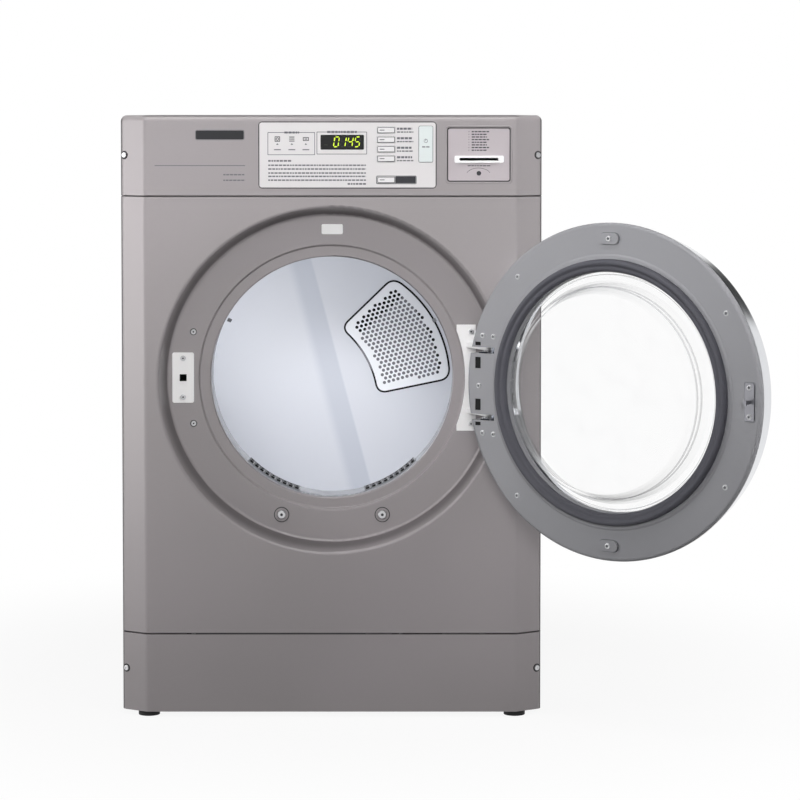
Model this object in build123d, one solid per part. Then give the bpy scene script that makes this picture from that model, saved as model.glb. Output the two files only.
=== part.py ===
from build123d import *
import os
from math import acos, atan2, cos, degrees, hypot, radians, sin, sqrt

# A gas tumble dryer with a round door, standing open.
# Millimetres. X to the right seen from the front, Y to the back, Z up.
# The origin is on the floor, at the middle of the four feet.

# Driving dimensions
cabinet_width = 686.0
body_depth = 702.0  # front face to the rear panel's outer face
skirt_gap = 9.0  # floor to the cabinet's lower edge
drum_lift = 234.0  # floor to the drum's underside
drum_side_gap = 25.0  # drum to the cabinet's sides
recess_side_gap = 62.0  # the door recess's rim to the cabinet's sides
recess_roll = 7.0  # the rim's rounded edge
fascia_height = 131.0
fascia_gap = 12.0  # recess to the seam above it
kick_gap = 126.5  # recess to the seam below it
door_open_angle = 145.0

sheet = 1.0  # steel sheet
moulding = 2.5  # plastic wall
seam = 1.2  # gap between neighbouring front pieces
running_gap = 0.3  # between pieces that move past each other
fit_gap = 0.05  # between a shaft and its bore
overrun = 5.0  # by which a cut runs past what it opens
long_overrun = 30.0

front_y = -body_depth / 2
rear_y = body_depth / 2
half_width = cabinet_width / 2
drum_radius = half_width - drum_side_gap
recess_rim_radius = half_width - recess_side_gap
opening_height = drum_lift + drum_radius  # floor to the drum's axis
fascia_seam_height = opening_height + recess_rim_radius + recess_roll + fascia_gap
kick_height = opening_height - recess_rim_radius - recess_roll - kick_gap
cabinet_height = fascia_seam_height + fascia_height
inner_x = half_width - sheet  # the side panels' inner faces
panel_y = rear_y - sheet  # the rear panel's inner face


def slab(x0, x1, y0, y1, z0, z1):
    middle = ((x0 + x1) / 2, (y0 + y1) / 2, (z0 + z1) / 2)
    return Pos(*middle) * Box(x1 - x0, y1 - y0, z1 - z0)


def rod(x, z, radius, y0, y1):
    return Pos(x, (y0 + y1) / 2, z) * Rot(90, 0, 0) * Cylinder(radius, y1 - y0)


def ring(x, z, outer, inner, y0, y1):
    return rod(x, z, outer, y0, y1) - rod(x, z, inner, y0 - overrun, y1 + overrun)


def post(x, y, radius, z0, z1):
    return Pos(x, y, (z0 + z1) / 2) * Cylinder(radius, z1 - z0)


# A closed outline, where a point with a third value is rounded to that radius.
def outline(points):
    face = make_face(Polyline(*[point[:2] for point in points], close=True))
    for point in points:
        if len(point) > 2:
            corner = face.vertices().sort_by_distance((point[0], point[1], 0))[0]
            face = fillet(corner, point[2])
    return face


# An outline of (x, z) points, stretched along Y.
def prism(face, y0, y1):
    return Pos(0, y1, 0) * Rot(90, 0, 0) * extrude(face, amount=y1 - y0)


# An outline of (radius, y) points, turned about the drum's axis.
def turned(points):
    return Pos(0, 0, opening_height) * revolve(outline(points), Axis.Y)


# A point on a circle about the drum's axis, angles counted from +X towards +Z.
def around(radius, angle):
    return radius * cos(radians(angle)), opening_height + radius * sin(radians(angle))


def save(name, *solids):
    pieces = [solid for piece in solids for solid in piece.solids()]
    shape = pieces[0] if len(pieces) == 1 else Compound(pieces)
    export_step(shape, f"parts/{name}.step")


# Front corners
corner_run = 41.0  # the slanted corner's width, seen from the front
corner_back = 24.0  # by which it falls back
corner_bend = 12.0
side_return = 26.0  # by which the front pieces reach round the sides
corner_y = front_y + corner_back
return_y = corner_y + side_return  # where the side panels begin
top_round = 10.0  # of the cabinet's upper edges


def front_plan():
    return outline([
        (-half_width, return_y),
        (-half_width, corner_y, corner_bend),
        (-half_width + corner_run, front_y, corner_bend),
        (half_width - corner_run, front_y, corner_bend),
        (half_width, corner_y, corner_bend),
        (half_width, return_y),
    ])


# The front plan, drawn in by a wall, and left open at the back.
def front_hollow(wall):
    back = Pos(0, return_y) * Rectangle(cabinet_width - 2 * wall, side_return)
    return offset(front_plan(), -wall) + back


def front_wrap(z0, z1, wall):
    return Pos(0, 0, z0) * extrude(front_plan() - front_hollow(wall), amount=z1 - z0)


# A fastener whose head lies on a face; the head points along -Y before it is turned.
screw_head_radius = 4.4
screw_head_height = 2.2
screw_shank_radius = 2.0
screw_length = 9.0
screw_socket_radius = 1.5
screw_socket_depth = 1.2


def screw(scale_share=1.0):
    head = rod(0, 0, screw_head_radius, -screw_head_height, 0)
    head = fillet(head.edges().sort_by(Axis.Y)[0], screw_head_height / 2)
    shank = rod(0, 0, screw_shank_radius, 0, screw_length)
    socket = rod(0, 0, screw_socket_radius, -screw_head_height - overrun, screw_socket_depth - screw_head_height)
    return (head + shank - socket).scale(scale_share)


def screw_hole(scale_share=1.0):
    reach = (screw_length + running_gap) * scale_share
    return rod(0, 0, (screw_shank_radius + fit_gap) * scale_share, -overrun, reach)


# Feet
foot_side_inset = 43.0  # foot's axis to the cabinet's side
foot_end_inset = 26.0  # foot's axis to the front and rear faces
foot_pad_radius = 17.5
foot_pad_height = 12.0
foot_pad_round = 2.0
foot_stud_radius = 5.0
foot_stud_length = 36.0
foot_travel = 20.0  # by which each foot screws out
foot_nut_radius = 11.0
foot_nut_height = 12.0
foot_x = half_width - foot_side_inset
foot_y = body_depth / 2 - foot_end_inset
foot_places = {
    "front_left_foot": (-foot_x, -foot_y),
    "front_right_foot": (foot_x, -foot_y),
    "rear_left_foot": (-foot_x, foot_y),
    "rear_right_foot": (foot_x, foot_y),
}
pan_z = foot_pad_height + running_gap  # the base pan's underside


def foot(x, y):
    pad = post(x, y, foot_pad_radius, 0, foot_pad_height)
    pad = fillet(pad.edges().sort_by(Axis.Z)[-1], foot_pad_round)
    return pad + post(x, y, foot_stud_radius, 0, foot_pad_height + foot_stud_length)


# Base pan, with a nut pressed in for each foot
pan_wall = 1.5
pan_rim = 32.0
pan_top = pan_z + pan_wall


# The pan's plan, drawn in by a wall, inside the front pieces and the side panels
def pan_plan(wall):
    rear = panel_y - wall
    behind = Pos(0, (return_y + rear) / 2) * Rectangle(2 * (inner_x - wall), rear - return_y)
    return front_hollow(sheet + running_gap + wall) + behind


def base_pan():
    tray = Pos(0, 0, pan_z) * extrude(pan_plan(0), amount=pan_rim)
    tray -= Pos(0, 0, pan_top) * extrude(pan_plan(pan_wall), amount=pan_rim)
    for x, y in foot_places.values():
        tray += post(x, y, foot_nut_radius, pan_z, pan_top + foot_nut_height)
    for x, y in foot_places.values():
        tray -= post(x, y, foot_stud_radius + fit_gap, pan_z - overrun, pan_top + foot_nut_height + overrun)
    return tray


# Side panels, flanged inwards along the top and back
cover_height = 24.0  # the top cover's skirt
side_top = cabinet_height - cover_height
side_flange = 14.0


def side_panel(side):
    outer, inner = side * half_width, side * inner_x
    tip = side * (inner_x - side_flange)
    low, high = min(inner, outer), max(inner, outer)
    skin = slab(low, high, return_y, rear_y, skirt_gap, side_top)
    low, high = min(tip, inner), max(tip, inner)
    top = slab(low, high, return_y, rear_y - sheet - sheet, side_top - sheet, side_top)
    back = slab(low, high, panel_y - sheet, panel_y, pan_z + pan_rim, side_top)
    return skin + top + back


# Rear panel, with the openings for air, gas and power
exhaust_x = 0.0
exhaust_z = 95.0
exhaust_radius = 50.5
exhaust_wall = 1.2
exhaust_collar = 1.2  # by which the outlet's collar stands out from the duct
exhaust_bore = exhaust_radius - exhaust_wall - exhaust_collar
exhaust_play = 0.5
exhaust_reach = 38.0  # beyond the rear panel
burner_side_gap = 128.0  # to the cabinet's side
burner_x = half_width - burner_side_gap
burner_z = 112.0
burner_radius = 45.0
gas_burner_gap = 110.0  # from the burner's axis
gas_x = burner_x - gas_burner_gap
gas_z = 62.0
gas_pipe_radius = 6.5
gas_fitting_radius = 8.55
gas_fitting_reach = 24.0
cord_hole_radius = 11.0
cord_side_gap = 73.0
cord_drop = 223.0
cord_hole_x = cord_side_gap - half_width
cord_hole_z = cabinet_height - cord_drop
cord_collar_wall = 2.0
cord_collar_length = 8.0
louvre_count = 8
louvre_width = 120.0
louvre_height = 5.0
louvre_pitch = 14.0
louvre_side_gap = 93.0
louvre_x = louvre_side_gap - half_width
louvre_z = 90.0
tub_inset = 16.0
rear_tub_radius = drum_radius - tub_inset


def rear_panel():
    plate = slab(-inner_x, inner_x, panel_y, rear_y, skirt_gap, side_top)
    plate -= rod(exhaust_x, exhaust_z, exhaust_bore + exhaust_wall + exhaust_play, panel_y - overrun,
                 rear_y + overrun)
    plate -= rod(burner_x, burner_z, burner_radius + exhaust_play, panel_y - overrun, rear_y + overrun)
    plate -= rod(gas_x, gas_z, gas_pipe_radius + exhaust_play, panel_y - overrun, rear_y + overrun)
    plate -= prism(grille_outline(-grille_margin), panel_y - overrun, rear_y + overrun)
    for row in range(louvre_count):
        z = louvre_z + row * louvre_pitch
        plate -= slab(louvre_x - louvre_width / 2, louvre_x + louvre_width / 2,
                      panel_y - overrun, rear_y + overrun, z, z + louvre_height)
    plate += rod(cord_hole_x, cord_hole_z, cord_hole_radius + cord_collar_wall, panel_y,
                 rear_y + cord_collar_length)
    plate -= rod(cord_hole_x, cord_hole_z, cord_hole_radius, panel_y - overrun,
                 rear_y + cord_collar_length + overrun)
    for x, z in duct_screw_places():
        plate -= Pos(x, rear_y + duct_wall, z) * Rot(0, 0, 180) * screw_hole()
    return plate


# Top cover
def top_cover():
    block = slab(-half_width, half_width, return_y, rear_y, side_top, cabinet_height)
    upper = block.edges().filter_by(lambda edge: edge.center().Z > cabinet_height - sheet)
    ends = [edge for edge in upper if edge.center().Y > return_y + sheet]
    block = fillet(ends, top_round)
    room = slab(-inner_x, inner_x, return_y - overrun, panel_y, side_top - overrun, cabinet_height - sheet)
    inner = room.edges().filter_by(lambda edge: edge.center().Z > cabinet_height - 2 * sheet)
    ends = [edge for edge in inner if edge.center().Y > return_y]
    return block - fillet(ends, top_round - sheet)


# Front panel, pressed into a round recess with a raised seat for the door's seal
recess_slope = 10.5  # by which its wall draws in
recess_depth = 52.0
recess_bend = 5.0
floor_width = 52.5
seat_width = 19.0
seat_step = 7.0
recess_floor_radius = recess_rim_radius - recess_slope
seat_radius = recess_floor_radius - floor_width  # where the floor steps back to the seal's seat
opening_radius = seat_radius - seat_width
seat_bend = 2.5
throat_flange = 12.0  # by which the opening's edge turns back
floor_y = front_y + recess_depth
seat_y = floor_y + seat_step
hinge_height = 54.0  # each hinge arm above and below the drum's axis


def recess():
    behind = sheet
    return turned([
        (recess_rim_radius + recess_roll, front_y),
        (recess_rim_radius, front_y, recess_roll - sheet),
        (recess_floor_radius, floor_y, recess_bend),
        (seat_radius, floor_y, seat_bend),
        (seat_radius, seat_y, seat_bend),
        (opening_radius, seat_y, seat_bend),
        (opening_radius, seat_y + throat_flange),
        (opening_radius + behind, seat_y + throat_flange),
        (opening_radius + behind, seat_y + behind, seat_bend - sheet),
        (seat_radius + behind, seat_y + behind, seat_bend + sheet),
        (seat_radius + behind, floor_y + behind, seat_bend - sheet),
        (recess_floor_radius + behind, floor_y + behind, recess_bend + sheet),
        (recess_rim_radius + behind, front_y + behind, recess_roll - 2 * sheet),
        (recess_rim_radius + recess_roll, front_y + behind),
    ])


# Screws on the recess floor, as (radius, angle) about the drum's axis
floor_screw_inset = 30.9  # from the recess's floor edge
floor_screw_radius = recess_floor_radius - floor_screw_inset
floor_screw_angles = (161.6, 198.4)
lint_screw_x = 83.0
lint_screw_inset = 44.0
lint_screw_drop = recess_floor_radius - lint_screw_inset
lint_screw_scale_share = 1.6
strike_inset = 26.0
strike_x = strike_inset - recess_floor_radius
strike_width = 35.5
strike_height = 83.0
strike_round = 3.0
strike_wall = 1.5
strike_hole = 11.5
strike_screw_rise = 32.0
latch_box_depth = 20.0
latch_box_wall = 1.5


def floor_screw_places():
    return [around(floor_screw_radius, angle) for angle in floor_screw_angles]


def lint_screw_places():
    return [(side * lint_screw_x, opening_height - lint_screw_drop) for side in (-1, 1)]


def strike_screw_places():
    return [(strike_x, opening_height + side * strike_screw_rise) for side in (-1, 1)]


def front_panel():
    panel = front_wrap(kick_height + seam / 2, fascia_seam_height - seam / 2, sheet)
    panel -= rod(0, opening_height, recess_rim_radius + recess_roll, front_y - overrun, front_y + overrun)
    panel += recess()
    for x, z in floor_screw_places():
        panel -= Pos(x, floor_y, z) * screw_hole()
    for x, z in lint_screw_places():
        panel -= Pos(x, floor_y, z) * screw_hole(lint_screw_scale_share)
    for x, z in strike_screw_places():
        panel -= Pos(x, floor_y - strike_wall, z) * screw_hole()
    half = strike_hole / 2 + latch_box_wall + running_gap
    panel -= slab(strike_x - half, strike_x + half, floor_y - overrun, floor_y + overrun,
                  opening_height - half, opening_height + half)
    for place in hinge_screw_places():
        panel -= Pos(place[0], floor_y - hinge_plate_wall, place[1]) * screw_hole()
    return panel


# Strike plate, with the catch box that takes the door's hook
def strike_plate():
    plate = outline([
        (strike_x - strike_width / 2, opening_height - strike_height / 2, strike_round),
        (strike_x + strike_width / 2, opening_height - strike_height / 2, strike_round),
        (strike_x + strike_width / 2, opening_height + strike_height / 2, strike_round),
        (strike_x - strike_width / 2, opening_height + strike_height / 2, strike_round),
    ])
    half, back = strike_hole / 2, floor_y + latch_box_depth
    box = half + latch_box_wall
    catch = prism(plate, floor_y - strike_wall, floor_y)
    catch += slab(strike_x - box, strike_x + box, floor_y - strike_wall, back,
                  opening_height - box, opening_height + box)
    catch -= slab(strike_x - half, strike_x + half, floor_y - strike_wall - overrun, back - latch_box_wall,
                  opening_height - half, opening_height + half)
    for x, z in strike_screw_places():
        catch -= Pos(x, floor_y - strike_wall, z) * screw_hole()
    return catch


# Kick panel
def kick_panel():
    panel = front_wrap(skirt_gap, kick_height - seam / 2, sheet)
    for place in side_screws(kick_screw_height):
        panel -= place * screw_hole()
    return panel


# Screws in the slanted corners, square to them
side_screw_inset = 6.5  # from the cabinet's side, seen from the front
kick_screw_drop = 60.0
fascia_screw_drop = 64.5
kick_screw_height = kick_height - kick_screw_drop
fascia_screw_height = cabinet_height - fascia_screw_drop
corner_turn = degrees(atan2(corner_back, corner_run))


def side_screws(height):
    fall = (corner_run - side_screw_inset) / corner_run * corner_back
    x = half_width - side_screw_inset
    return [Pos(side * x, front_y + fall, height) * Rot(0, 0, side * corner_turn) for side in (-1, 1)]


# Hinge: a plate on the recess floor with two arms that reach forward to the door's pins
door_gap = 6.0  # to the recess's wall
door_radius = recess_floor_radius - door_gap  # the door liner's
hinge_axis_inset = 9.5
hinge_axis_x = door_radius - hinge_axis_inset
hinge_axis_proud = 1.0  # beyond the cabinet's front
hinge_axis_y = front_y - hinge_axis_proud
hinge_plate_inset = 59.5  # from the door's edge
hinge_plate_width = 31.5
hinge_plate_left = door_radius - hinge_plate_inset
hinge_plate_right = hinge_plate_left + hinge_plate_width
hinge_plate_wall = 2.0
hinge_plate_half = 87.5
hinge_plate_play = 1.2  # between the plate and the seat's step
hinge_screw_inset = 7.5
hinge_screw_x = hinge_plate_right - hinge_screw_inset
hinge_screw_rise = 76.0
hinge_arm_height = 8.0
hinge_arm_width = 9.0
hinge_arm_reach = 30.0
hinge_arm_root_x = hinge_axis_x - hinge_arm_reach
hinge_eye_radius = 6.5
hinge_pin_radius = 2.6
hinge_pin_head = 1.6
hinge_pin_head_radius = 4.5


def hinge_screw_places():
    return [(hinge_screw_x, opening_height + side * hinge_screw_rise) for side in (-1, 1)]


def hinge_arm(z):
    root, tip = (hinge_arm_root_x, floor_y), (hinge_axis_x, hinge_axis_y)
    run = hypot(tip[0] - root[0], tip[1] - root[1])
    turn = degrees(atan2(tip[1] - root[1], tip[0] - root[0]))
    bar = Pos(root[0], root[1], z) * Rot(0, 0, turn) * Pos(run / 2, 0, 0) * Box(
        run, hinge_arm_width, hinge_arm_height)
    eye = Pos(tip[0], tip[1], z) * Cylinder(hinge_eye_radius, hinge_arm_height)
    bore = Pos(tip[0], tip[1], z) * Cylinder(hinge_pin_radius + fit_gap, hinge_arm_height + overrun)
    behind = slab(root[0] - long_overrun, root[0] + long_overrun, floor_y, floor_y + long_overrun,
                  z - hinge_arm_height, z + hinge_arm_height)
    return bar + eye - bore - behind


def hinge_bracket():
    plate = slab(hinge_plate_left, hinge_plate_right, floor_y - hinge_plate_wall, floor_y,
                 opening_height - hinge_plate_half, opening_height + hinge_plate_half)
    plate -= rod(0, opening_height, seat_radius + hinge_plate_play, floor_y - long_overrun, floor_y + overrun)
    for side in (-1, 1):
        plate += hinge_arm(opening_height + side * hinge_height)
    for x, z in hinge_screw_places():
        plate -= Pos(x, floor_y - hinge_plate_wall, z) * screw_hole()
    return plate


# Door, drawn shut about the drum's axis and then swung open about the hinge
liner_depth = 46.0  # behind the cabinet's front when the door is shut
liner_y = front_y + liner_depth
liner_wall = 2.5
liner_round = 5.0
liner_side = 8.0  # by which the liner's side reaches forward
liner_tongue = 8.0  # and then a tongue inside the frame
liner_tongue_inset = 5.0
gasket_cover = 9.0  # by which the gasket laps the opening's edge
gasket_width = 18.0
gasket_lap = 2.0
shoulder_width = 5.0
shoulder_rise = 1.5
gasket_outer = opening_radius + gasket_cover
gasket_inner = gasket_outer - gasket_width
shoulder_radius = gasket_outer + shoulder_width
glass_seat_radius = gasket_inner - gasket_lap
glass_seat_drop = 12.0
frame_wall = 2.5
frame_taper = 12.0  # by which the frame draws in towards its front
frame_proud = 14.0  # beyond the cabinet's front
frame_crown = 2.0  # from its shoulder to its inner edge
frame_width = 58.5
frame_inner_radius = door_radius - frame_width
frame_lip = 10.0
frame_round = 14.0
frame_back_y = liner_y - liner_side - running_gap
frame_front_y = front_y - frame_proud
frame_inner_y = frame_front_y - frame_crown
frame_shoulder_radius = door_radius - frame_taper
barrel_radius = 9.5  # round the hinge's axis
barrel_half = 74.0
barrel_root = 18.0  # by which the barrel's block reaches into the frame
trim_inset = 36.5  # from the door's edge
trim_radius = door_radius - trim_inset
trim_width = 8.0
trim_rise = 1.5
window_wall = 3.0
window_dome = 10.0
gasket_round = 4.0
bowl_play = 1.0
bowl_lip = 16.0
bowl_taper = 13.0
bowl_rim_radius = glass_seat_radius - bowl_play
bowl_radius = bowl_rim_radius - bowl_lip
bowl_tip_radius = bowl_radius - bowl_taper
bowl_wall = 3.5
bowl_depth = 40.0  # beyond the liner
bowl_round = 12.0
swing_slot_play = 1.0
slot_back_angle = 150.0
slot_front_angle = -56.0
sweep_reach = 66.0
sweep_steps = 6


def swung(piece):
    hinge = Pos(hinge_axis_x, hinge_axis_y, 0)
    return hinge * Rot(0, 0, door_open_angle) * Pos(-hinge_axis_x, -hinge_axis_y, 0) * piece


# The room that each hinge arm sweeps through in the door.
def arm_sweep():
    reach = sweep_reach
    span = slot_back_angle - slot_front_angle
    tips = [radians(slot_front_angle + span * step / sweep_steps) for step in range(sweep_steps + 1)]
    points = [(0, 0)] + [(reach * cos(tip), reach * sin(tip)) for tip in tips]
    height = hinge_arm_height + 2 * swing_slot_play
    fan = extrude(make_face(Polyline(*points, close=True)), amount=height)
    round_room = Pos(0, 0, height / 2) * Cylinder(barrel_radius + swing_slot_play, height)
    room = Pos(hinge_axis_x, hinge_axis_y, -height / 2) * (fan + round_room)
    return [Pos(0, 0, opening_height + side * hinge_height) * room for side in (-1, 1)]


# Slots in the liner beside the arms, as (low, high) from the drum's axis
liner_slot_inset = 20.5
liner_slot_x = door_radius - liner_slot_inset
liner_slot_width = 10.5
liner_slot_spans = ((24.5, 43.0), (61.5, 67.5))
liner_screw_inset = 21.5
liner_screw_radius = door_radius - liner_screw_inset
liner_screw_angles = (46.0, 147.0, 213.0, 314.0)
# Inset from the door's edge and height from its middle
hinge_cover_screws = ((29.5, 78.0), (50.0, 77.0), (29.5, -79.0), (50.0, -80.0), (22.0, -3.0))
door_screw_scale_share = 0.8
pad_inset = 24.5
pad_radius = door_radius - pad_inset
pad_width = 34.0
pad_height = 17.0
pad_rise = 3.8
pad_round = 8.0
pad_screw_scale_share = 0.9


def door_screw_places():
    rim = [around(liner_screw_radius, angle) for angle in liner_screw_angles]
    return rim + [(door_radius - inset, opening_height + rise) for inset, rise in hinge_cover_screws]


def pad_places():
    return [around(pad_radius, angle) for angle in (90, 270)]


# A screw with its head towards +Y, as on the door's inner face.
def back_screw(x, y, z, piece):
    return Pos(x, y, z) * Rot(0, 0, 180) * piece


def door_liner():
    wall = liner_wall
    tongue = door_radius - liner_tongue_inset
    liner = turned([
        (door_radius, liner_y, liner_round),
        (door_radius, liner_y - liner_side),
        (tongue, liner_y - liner_side),
        (tongue, liner_y - liner_side - liner_tongue),
        (tongue - wall, liner_y - liner_side - liner_tongue),
        (tongue - wall, liner_y - wall),
        (glass_seat_radius + wall, liner_y - glass_seat_drop),
        (glass_seat_radius, liner_y - glass_seat_drop),
        (glass_seat_radius, liner_y),
        (gasket_outer + running_gap, liner_y),
        (gasket_outer + running_gap, liner_y + shoulder_rise),
        (shoulder_radius, liner_y + shoulder_rise, shoulder_rise / 2),
        (shoulder_radius + 2 * shoulder_rise, liner_y),
    ])
    for x, z in pad_places():
        half_x, half_z = pad_width / 2, pad_height / 2
        pad = outline([
            (x - half_x, z - half_z, pad_round), (x + half_x, z - half_z, pad_round),
            (x + half_x, z + half_z, pad_round), (x - half_x, z + half_z, pad_round),
        ])
        liner += prism(pad, liner_y - wall, liner_y + pad_rise)
        liner -= back_screw(x, liner_y + pad_rise, z, screw_hole(pad_screw_scale_share))
    for side in (-1, 1):
        for low, high in liner_slot_spans:
            ends = sorted((side * low, side * high))
            liner -= slab(liner_slot_x - liner_slot_width / 2, liner_slot_x + liner_slot_width / 2,
                          liner_y - wall - overrun, liner_y + overrun,
                          opening_height + ends[0], opening_height + ends[1])
    for x, z in door_screw_places():
        liner -= back_screw(x, liner_y, z, screw_hole(door_screw_scale_share))
    for x, z in latch_screw_places():
        liner -= back_screw(x, liner_y + latch_plate_wall, z, screw_hole(door_screw_scale_share))
    for room in arm_sweep():
        liner -= room
    return liner


# Outer frame: the door's front ring, curved back round its edge
def door_outer_frame():
    wall = frame_wall
    frame = turned([
        (door_radius, frame_back_y),
        (frame_shoulder_radius, frame_front_y, frame_round),
        (frame_inner_radius, frame_inner_y),
        (frame_inner_radius, frame_inner_y + frame_lip),
        (frame_inner_radius + wall, frame_inner_y + frame_lip),
        (frame_inner_radius + wall, frame_inner_y + wall),
        (frame_shoulder_radius - wall, frame_front_y + wall, frame_round - wall),
        (door_radius - wall, frame_back_y),
    ])
    barrel = post(hinge_axis_x, hinge_axis_y, barrel_radius, opening_height - barrel_half,
                  opening_height + barrel_half)
    frame += barrel
    frame += slab(hinge_axis_x - barrel_root, hinge_axis_x, hinge_axis_y, hinge_axis_y + barrel_root,
                  opening_height - barrel_half, opening_height + barrel_half)
    frame -= post(hinge_axis_x, hinge_axis_y, hinge_pin_radius, opening_height - barrel_half + pin_cover,
                  opening_height + barrel_half - pin_cover)
    for room in arm_sweep():
        frame -= room
    return frame - handle_pocket(0)


# Handle: a cup let into the frame's free edge, with a lip to pull on
handle_angle_share = 0.055  # of the full circle, each way from the middle
handle_inset = 18.5  # from the door's edge
handle_width = 32.0
handle_outer_radius = door_radius - handle_inset
handle_inner_radius = handle_outer_radius - handle_width
handle_depth = 22.0
handle_wall = 2.0


def handle_pocket(inset):
    half_angle = 360 * handle_angle_share
    outer, inner = handle_outer_radius - inset, handle_inner_radius + inset
    back = frame_front_y + handle_depth - inset
    cup = ring(0, 0, outer, inner, frame_front_y - overrun, back)
    turn = half_angle - degrees(inset / outer)
    reach = outer * 2
    left, rise = -reach * cos(radians(turn)), reach * sin(radians(turn))
    wedge = prism(outline([(0, 0), (left, rise), (-reach * 2, 0), (left, -rise)]),
                  frame_front_y - long_overrun, back + overrun)
    return Pos(0, 0, opening_height) * (cup & wedge)


def door_handle():
    cut = slab(-cabinet_width, 0, frame_front_y - long_overrun, frame_front_y, 0, cabinet_height)
    return handle_pocket(running_gap) - handle_pocket(handle_wall + running_gap) - cut


# The front face of the frame, at a radius
def frame_face(radius):
    share = (frame_shoulder_radius - radius) / (frame_shoulder_radius - frame_inner_radius)
    return frame_front_y - frame_crown * share


# Trim ring on the frame's front, around the window
def door_trim_ring():
    near, far = trim_radius - trim_width / 2, trim_radius + trim_width / 2
    return turned([
        (far, frame_face(far)),
        (far, frame_face(far) - trim_rise, trim_rise / 2),
        (near, frame_face(near) - trim_rise, trim_rise / 2),
        (near, frame_face(near)),
    ])


# Outer window: a shallow clear dome held behind the frame's inner lip
def door_window():
    edge = frame_inner_radius - running_gap
    dome = frame_inner_y + frame_lip - window_dome
    sagitta = window_dome - window_wall
    sphere = (edge ** 2 + sagitta ** 2) / (2 * sagitta)
    centre = dome + sphere
    disc = rod(0, opening_height, edge, dome - overrun, frame_inner_y + frame_lip)
    disc += ring(0, opening_height, frame_inner_radius + frame_wall, edge - overrun,
                 frame_inner_y + frame_lip, frame_inner_y + frame_lip + window_wall)
    shell = Pos(0, centre, opening_height) * Sphere(sphere)
    hollow = Pos(0, centre, opening_height) * Sphere(sphere - window_wall)
    clip = rod(0, opening_height, door_radius, dome - long_overrun, frame_inner_y + frame_lip + window_wall)
    rim = disc - rod(0, opening_height, edge - overrun, dome - long_overrun, cabinet_height)
    cap = (shell - hollow) & rod(0, opening_height, edge - overrun + fit_gap, dome - overrun, 0)
    return (cap + (rim & shell)) & clip


# Glass bowl, clamped behind the gasket
def door_glass():
    seat = liner_y - glass_seat_drop
    tip = liner_y + bowl_depth
    wall = bowl_wall
    return turned([
        (0, tip), (bowl_tip_radius, tip, bowl_round), (bowl_radius, liner_y + wall, bowl_round),
        (bowl_radius + wall, liner_y - wall), (bowl_rim_radius, liner_y - wall),
        (bowl_rim_radius, seat), (bowl_radius, seat),
        (bowl_radius - wall, liner_y, bowl_round - wall),
        (bowl_tip_radius - wall, tip - wall, bowl_round - wall), (0, tip - wall),
    ])


# Gasket: a soft ring between the liner and the seat in the recess
def door_gasket():
    top = seat_y - running_gap
    return turned([
        (gasket_outer, liner_y), (gasket_outer, top, gasket_round),
        (gasket_inner, top - gasket_round, gasket_round), (gasket_inner - sheet, liner_y),
    ])


# Latch: a plate on the liner with the hook that enters the catch
latch_x = strike_x
latch_plate_width = 16.0
latch_plate_height = 58.0
latch_plate_wall = 2.0
latch_screw_rise = 22.0
hook_width = 5.0
hook_height = 8.0
hook_reach = 15.0
hook_barb = 1.5


def latch_screw_places():
    return [(latch_x, opening_height + side * latch_screw_rise) for side in (-1, 1)]


def door_latch_hook():
    half_x, half_z = latch_plate_width / 2, latch_plate_height / 2
    plate = outline([
        (latch_x - half_x, opening_height - half_z, strike_round),
        (latch_x + half_x, opening_height - half_z, strike_round),
        (latch_x + half_x, opening_height + half_z, strike_round),
        (latch_x - half_x, opening_height + half_z, strike_round),
    ])
    latch = prism(plate, liner_y, liner_y + latch_plate_wall)
    tip = liner_y + latch_plate_wall + hook_reach
    x0, x1 = latch_x - hook_width / 2, latch_x + hook_width / 2
    z0, z1 = opening_height - hook_height / 2, opening_height + hook_height / 2
    latch += slab(x0, x1, liner_y, tip, z0 + hook_barb, z1 - hook_barb)
    latch += slab(x0, x1, tip - hook_barb * 2, tip, z0, z1)
    for x, z in latch_screw_places():
        latch -= back_screw(x, liner_y + latch_plate_wall, z, screw_hole(door_screw_scale_share))
    return latch


# Pins on which the door hangs, in the frame's barrel above and below each arm
pin_reach = 7.0
pin_cover = 3.0


def hinge_pins():
    half = hinge_arm_height / 2 + swing_slot_play + pin_reach
    return [post(hinge_axis_x, hinge_axis_y, hinge_pin_radius, opening_height + side * hinge_height - half,
                 opening_height + side * hinge_height + half) for side in (-1, 1)]


# Front tub: the bulkhead behind the front panel, with the throat and the front drum rim
throat_play = 0.5
throat_radius = opening_radius + sheet + throat_play
throat_wall = 1.5
throat_start_y = seat_y + sheet + seat_bend
throat_length = 84.0
throat_end_y = throat_start_y + throat_length
bulkhead_depth = 100.0  # behind the front face
bulkhead_y = front_y + bulkhead_depth
bulkhead_wall = 1.5
bulkhead_drop = 327.0  # from the drum's axis to its lower edge
bulkhead_lap = 53.0  # behind the fascia
bulkhead_low = opening_height - bulkhead_drop
bulkhead_top = fascia_seam_height + bulkhead_lap
felt_rim_radius = rear_tub_radius
felt_rim_wall = 1.5
drum_depth = 150.0  # the drum's front end behind the front face
drum_rear_gap = 18.0  # to the rear panel's face
felt_rim_lap = 16.0  # by which the rim reaches into the drum
drum_front_y = front_y + drum_depth
drum_rear_y = rear_y - drum_rear_gap
felt_rim_end_y = drum_front_y + felt_rim_lap
outlet_angles = (225.0, 254.0, 286.0, 315.0)
outlet_hole_radius = 2.6
outlet_rows = 3
outlet_columns = 9
outlet_row_pitch = 8.5
filter_slot_half = 56.0
filter_depth = 10.0
filter_play = 0.6
filter_inset = 22.0
filter_y = throat_start_y + filter_inset


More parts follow.
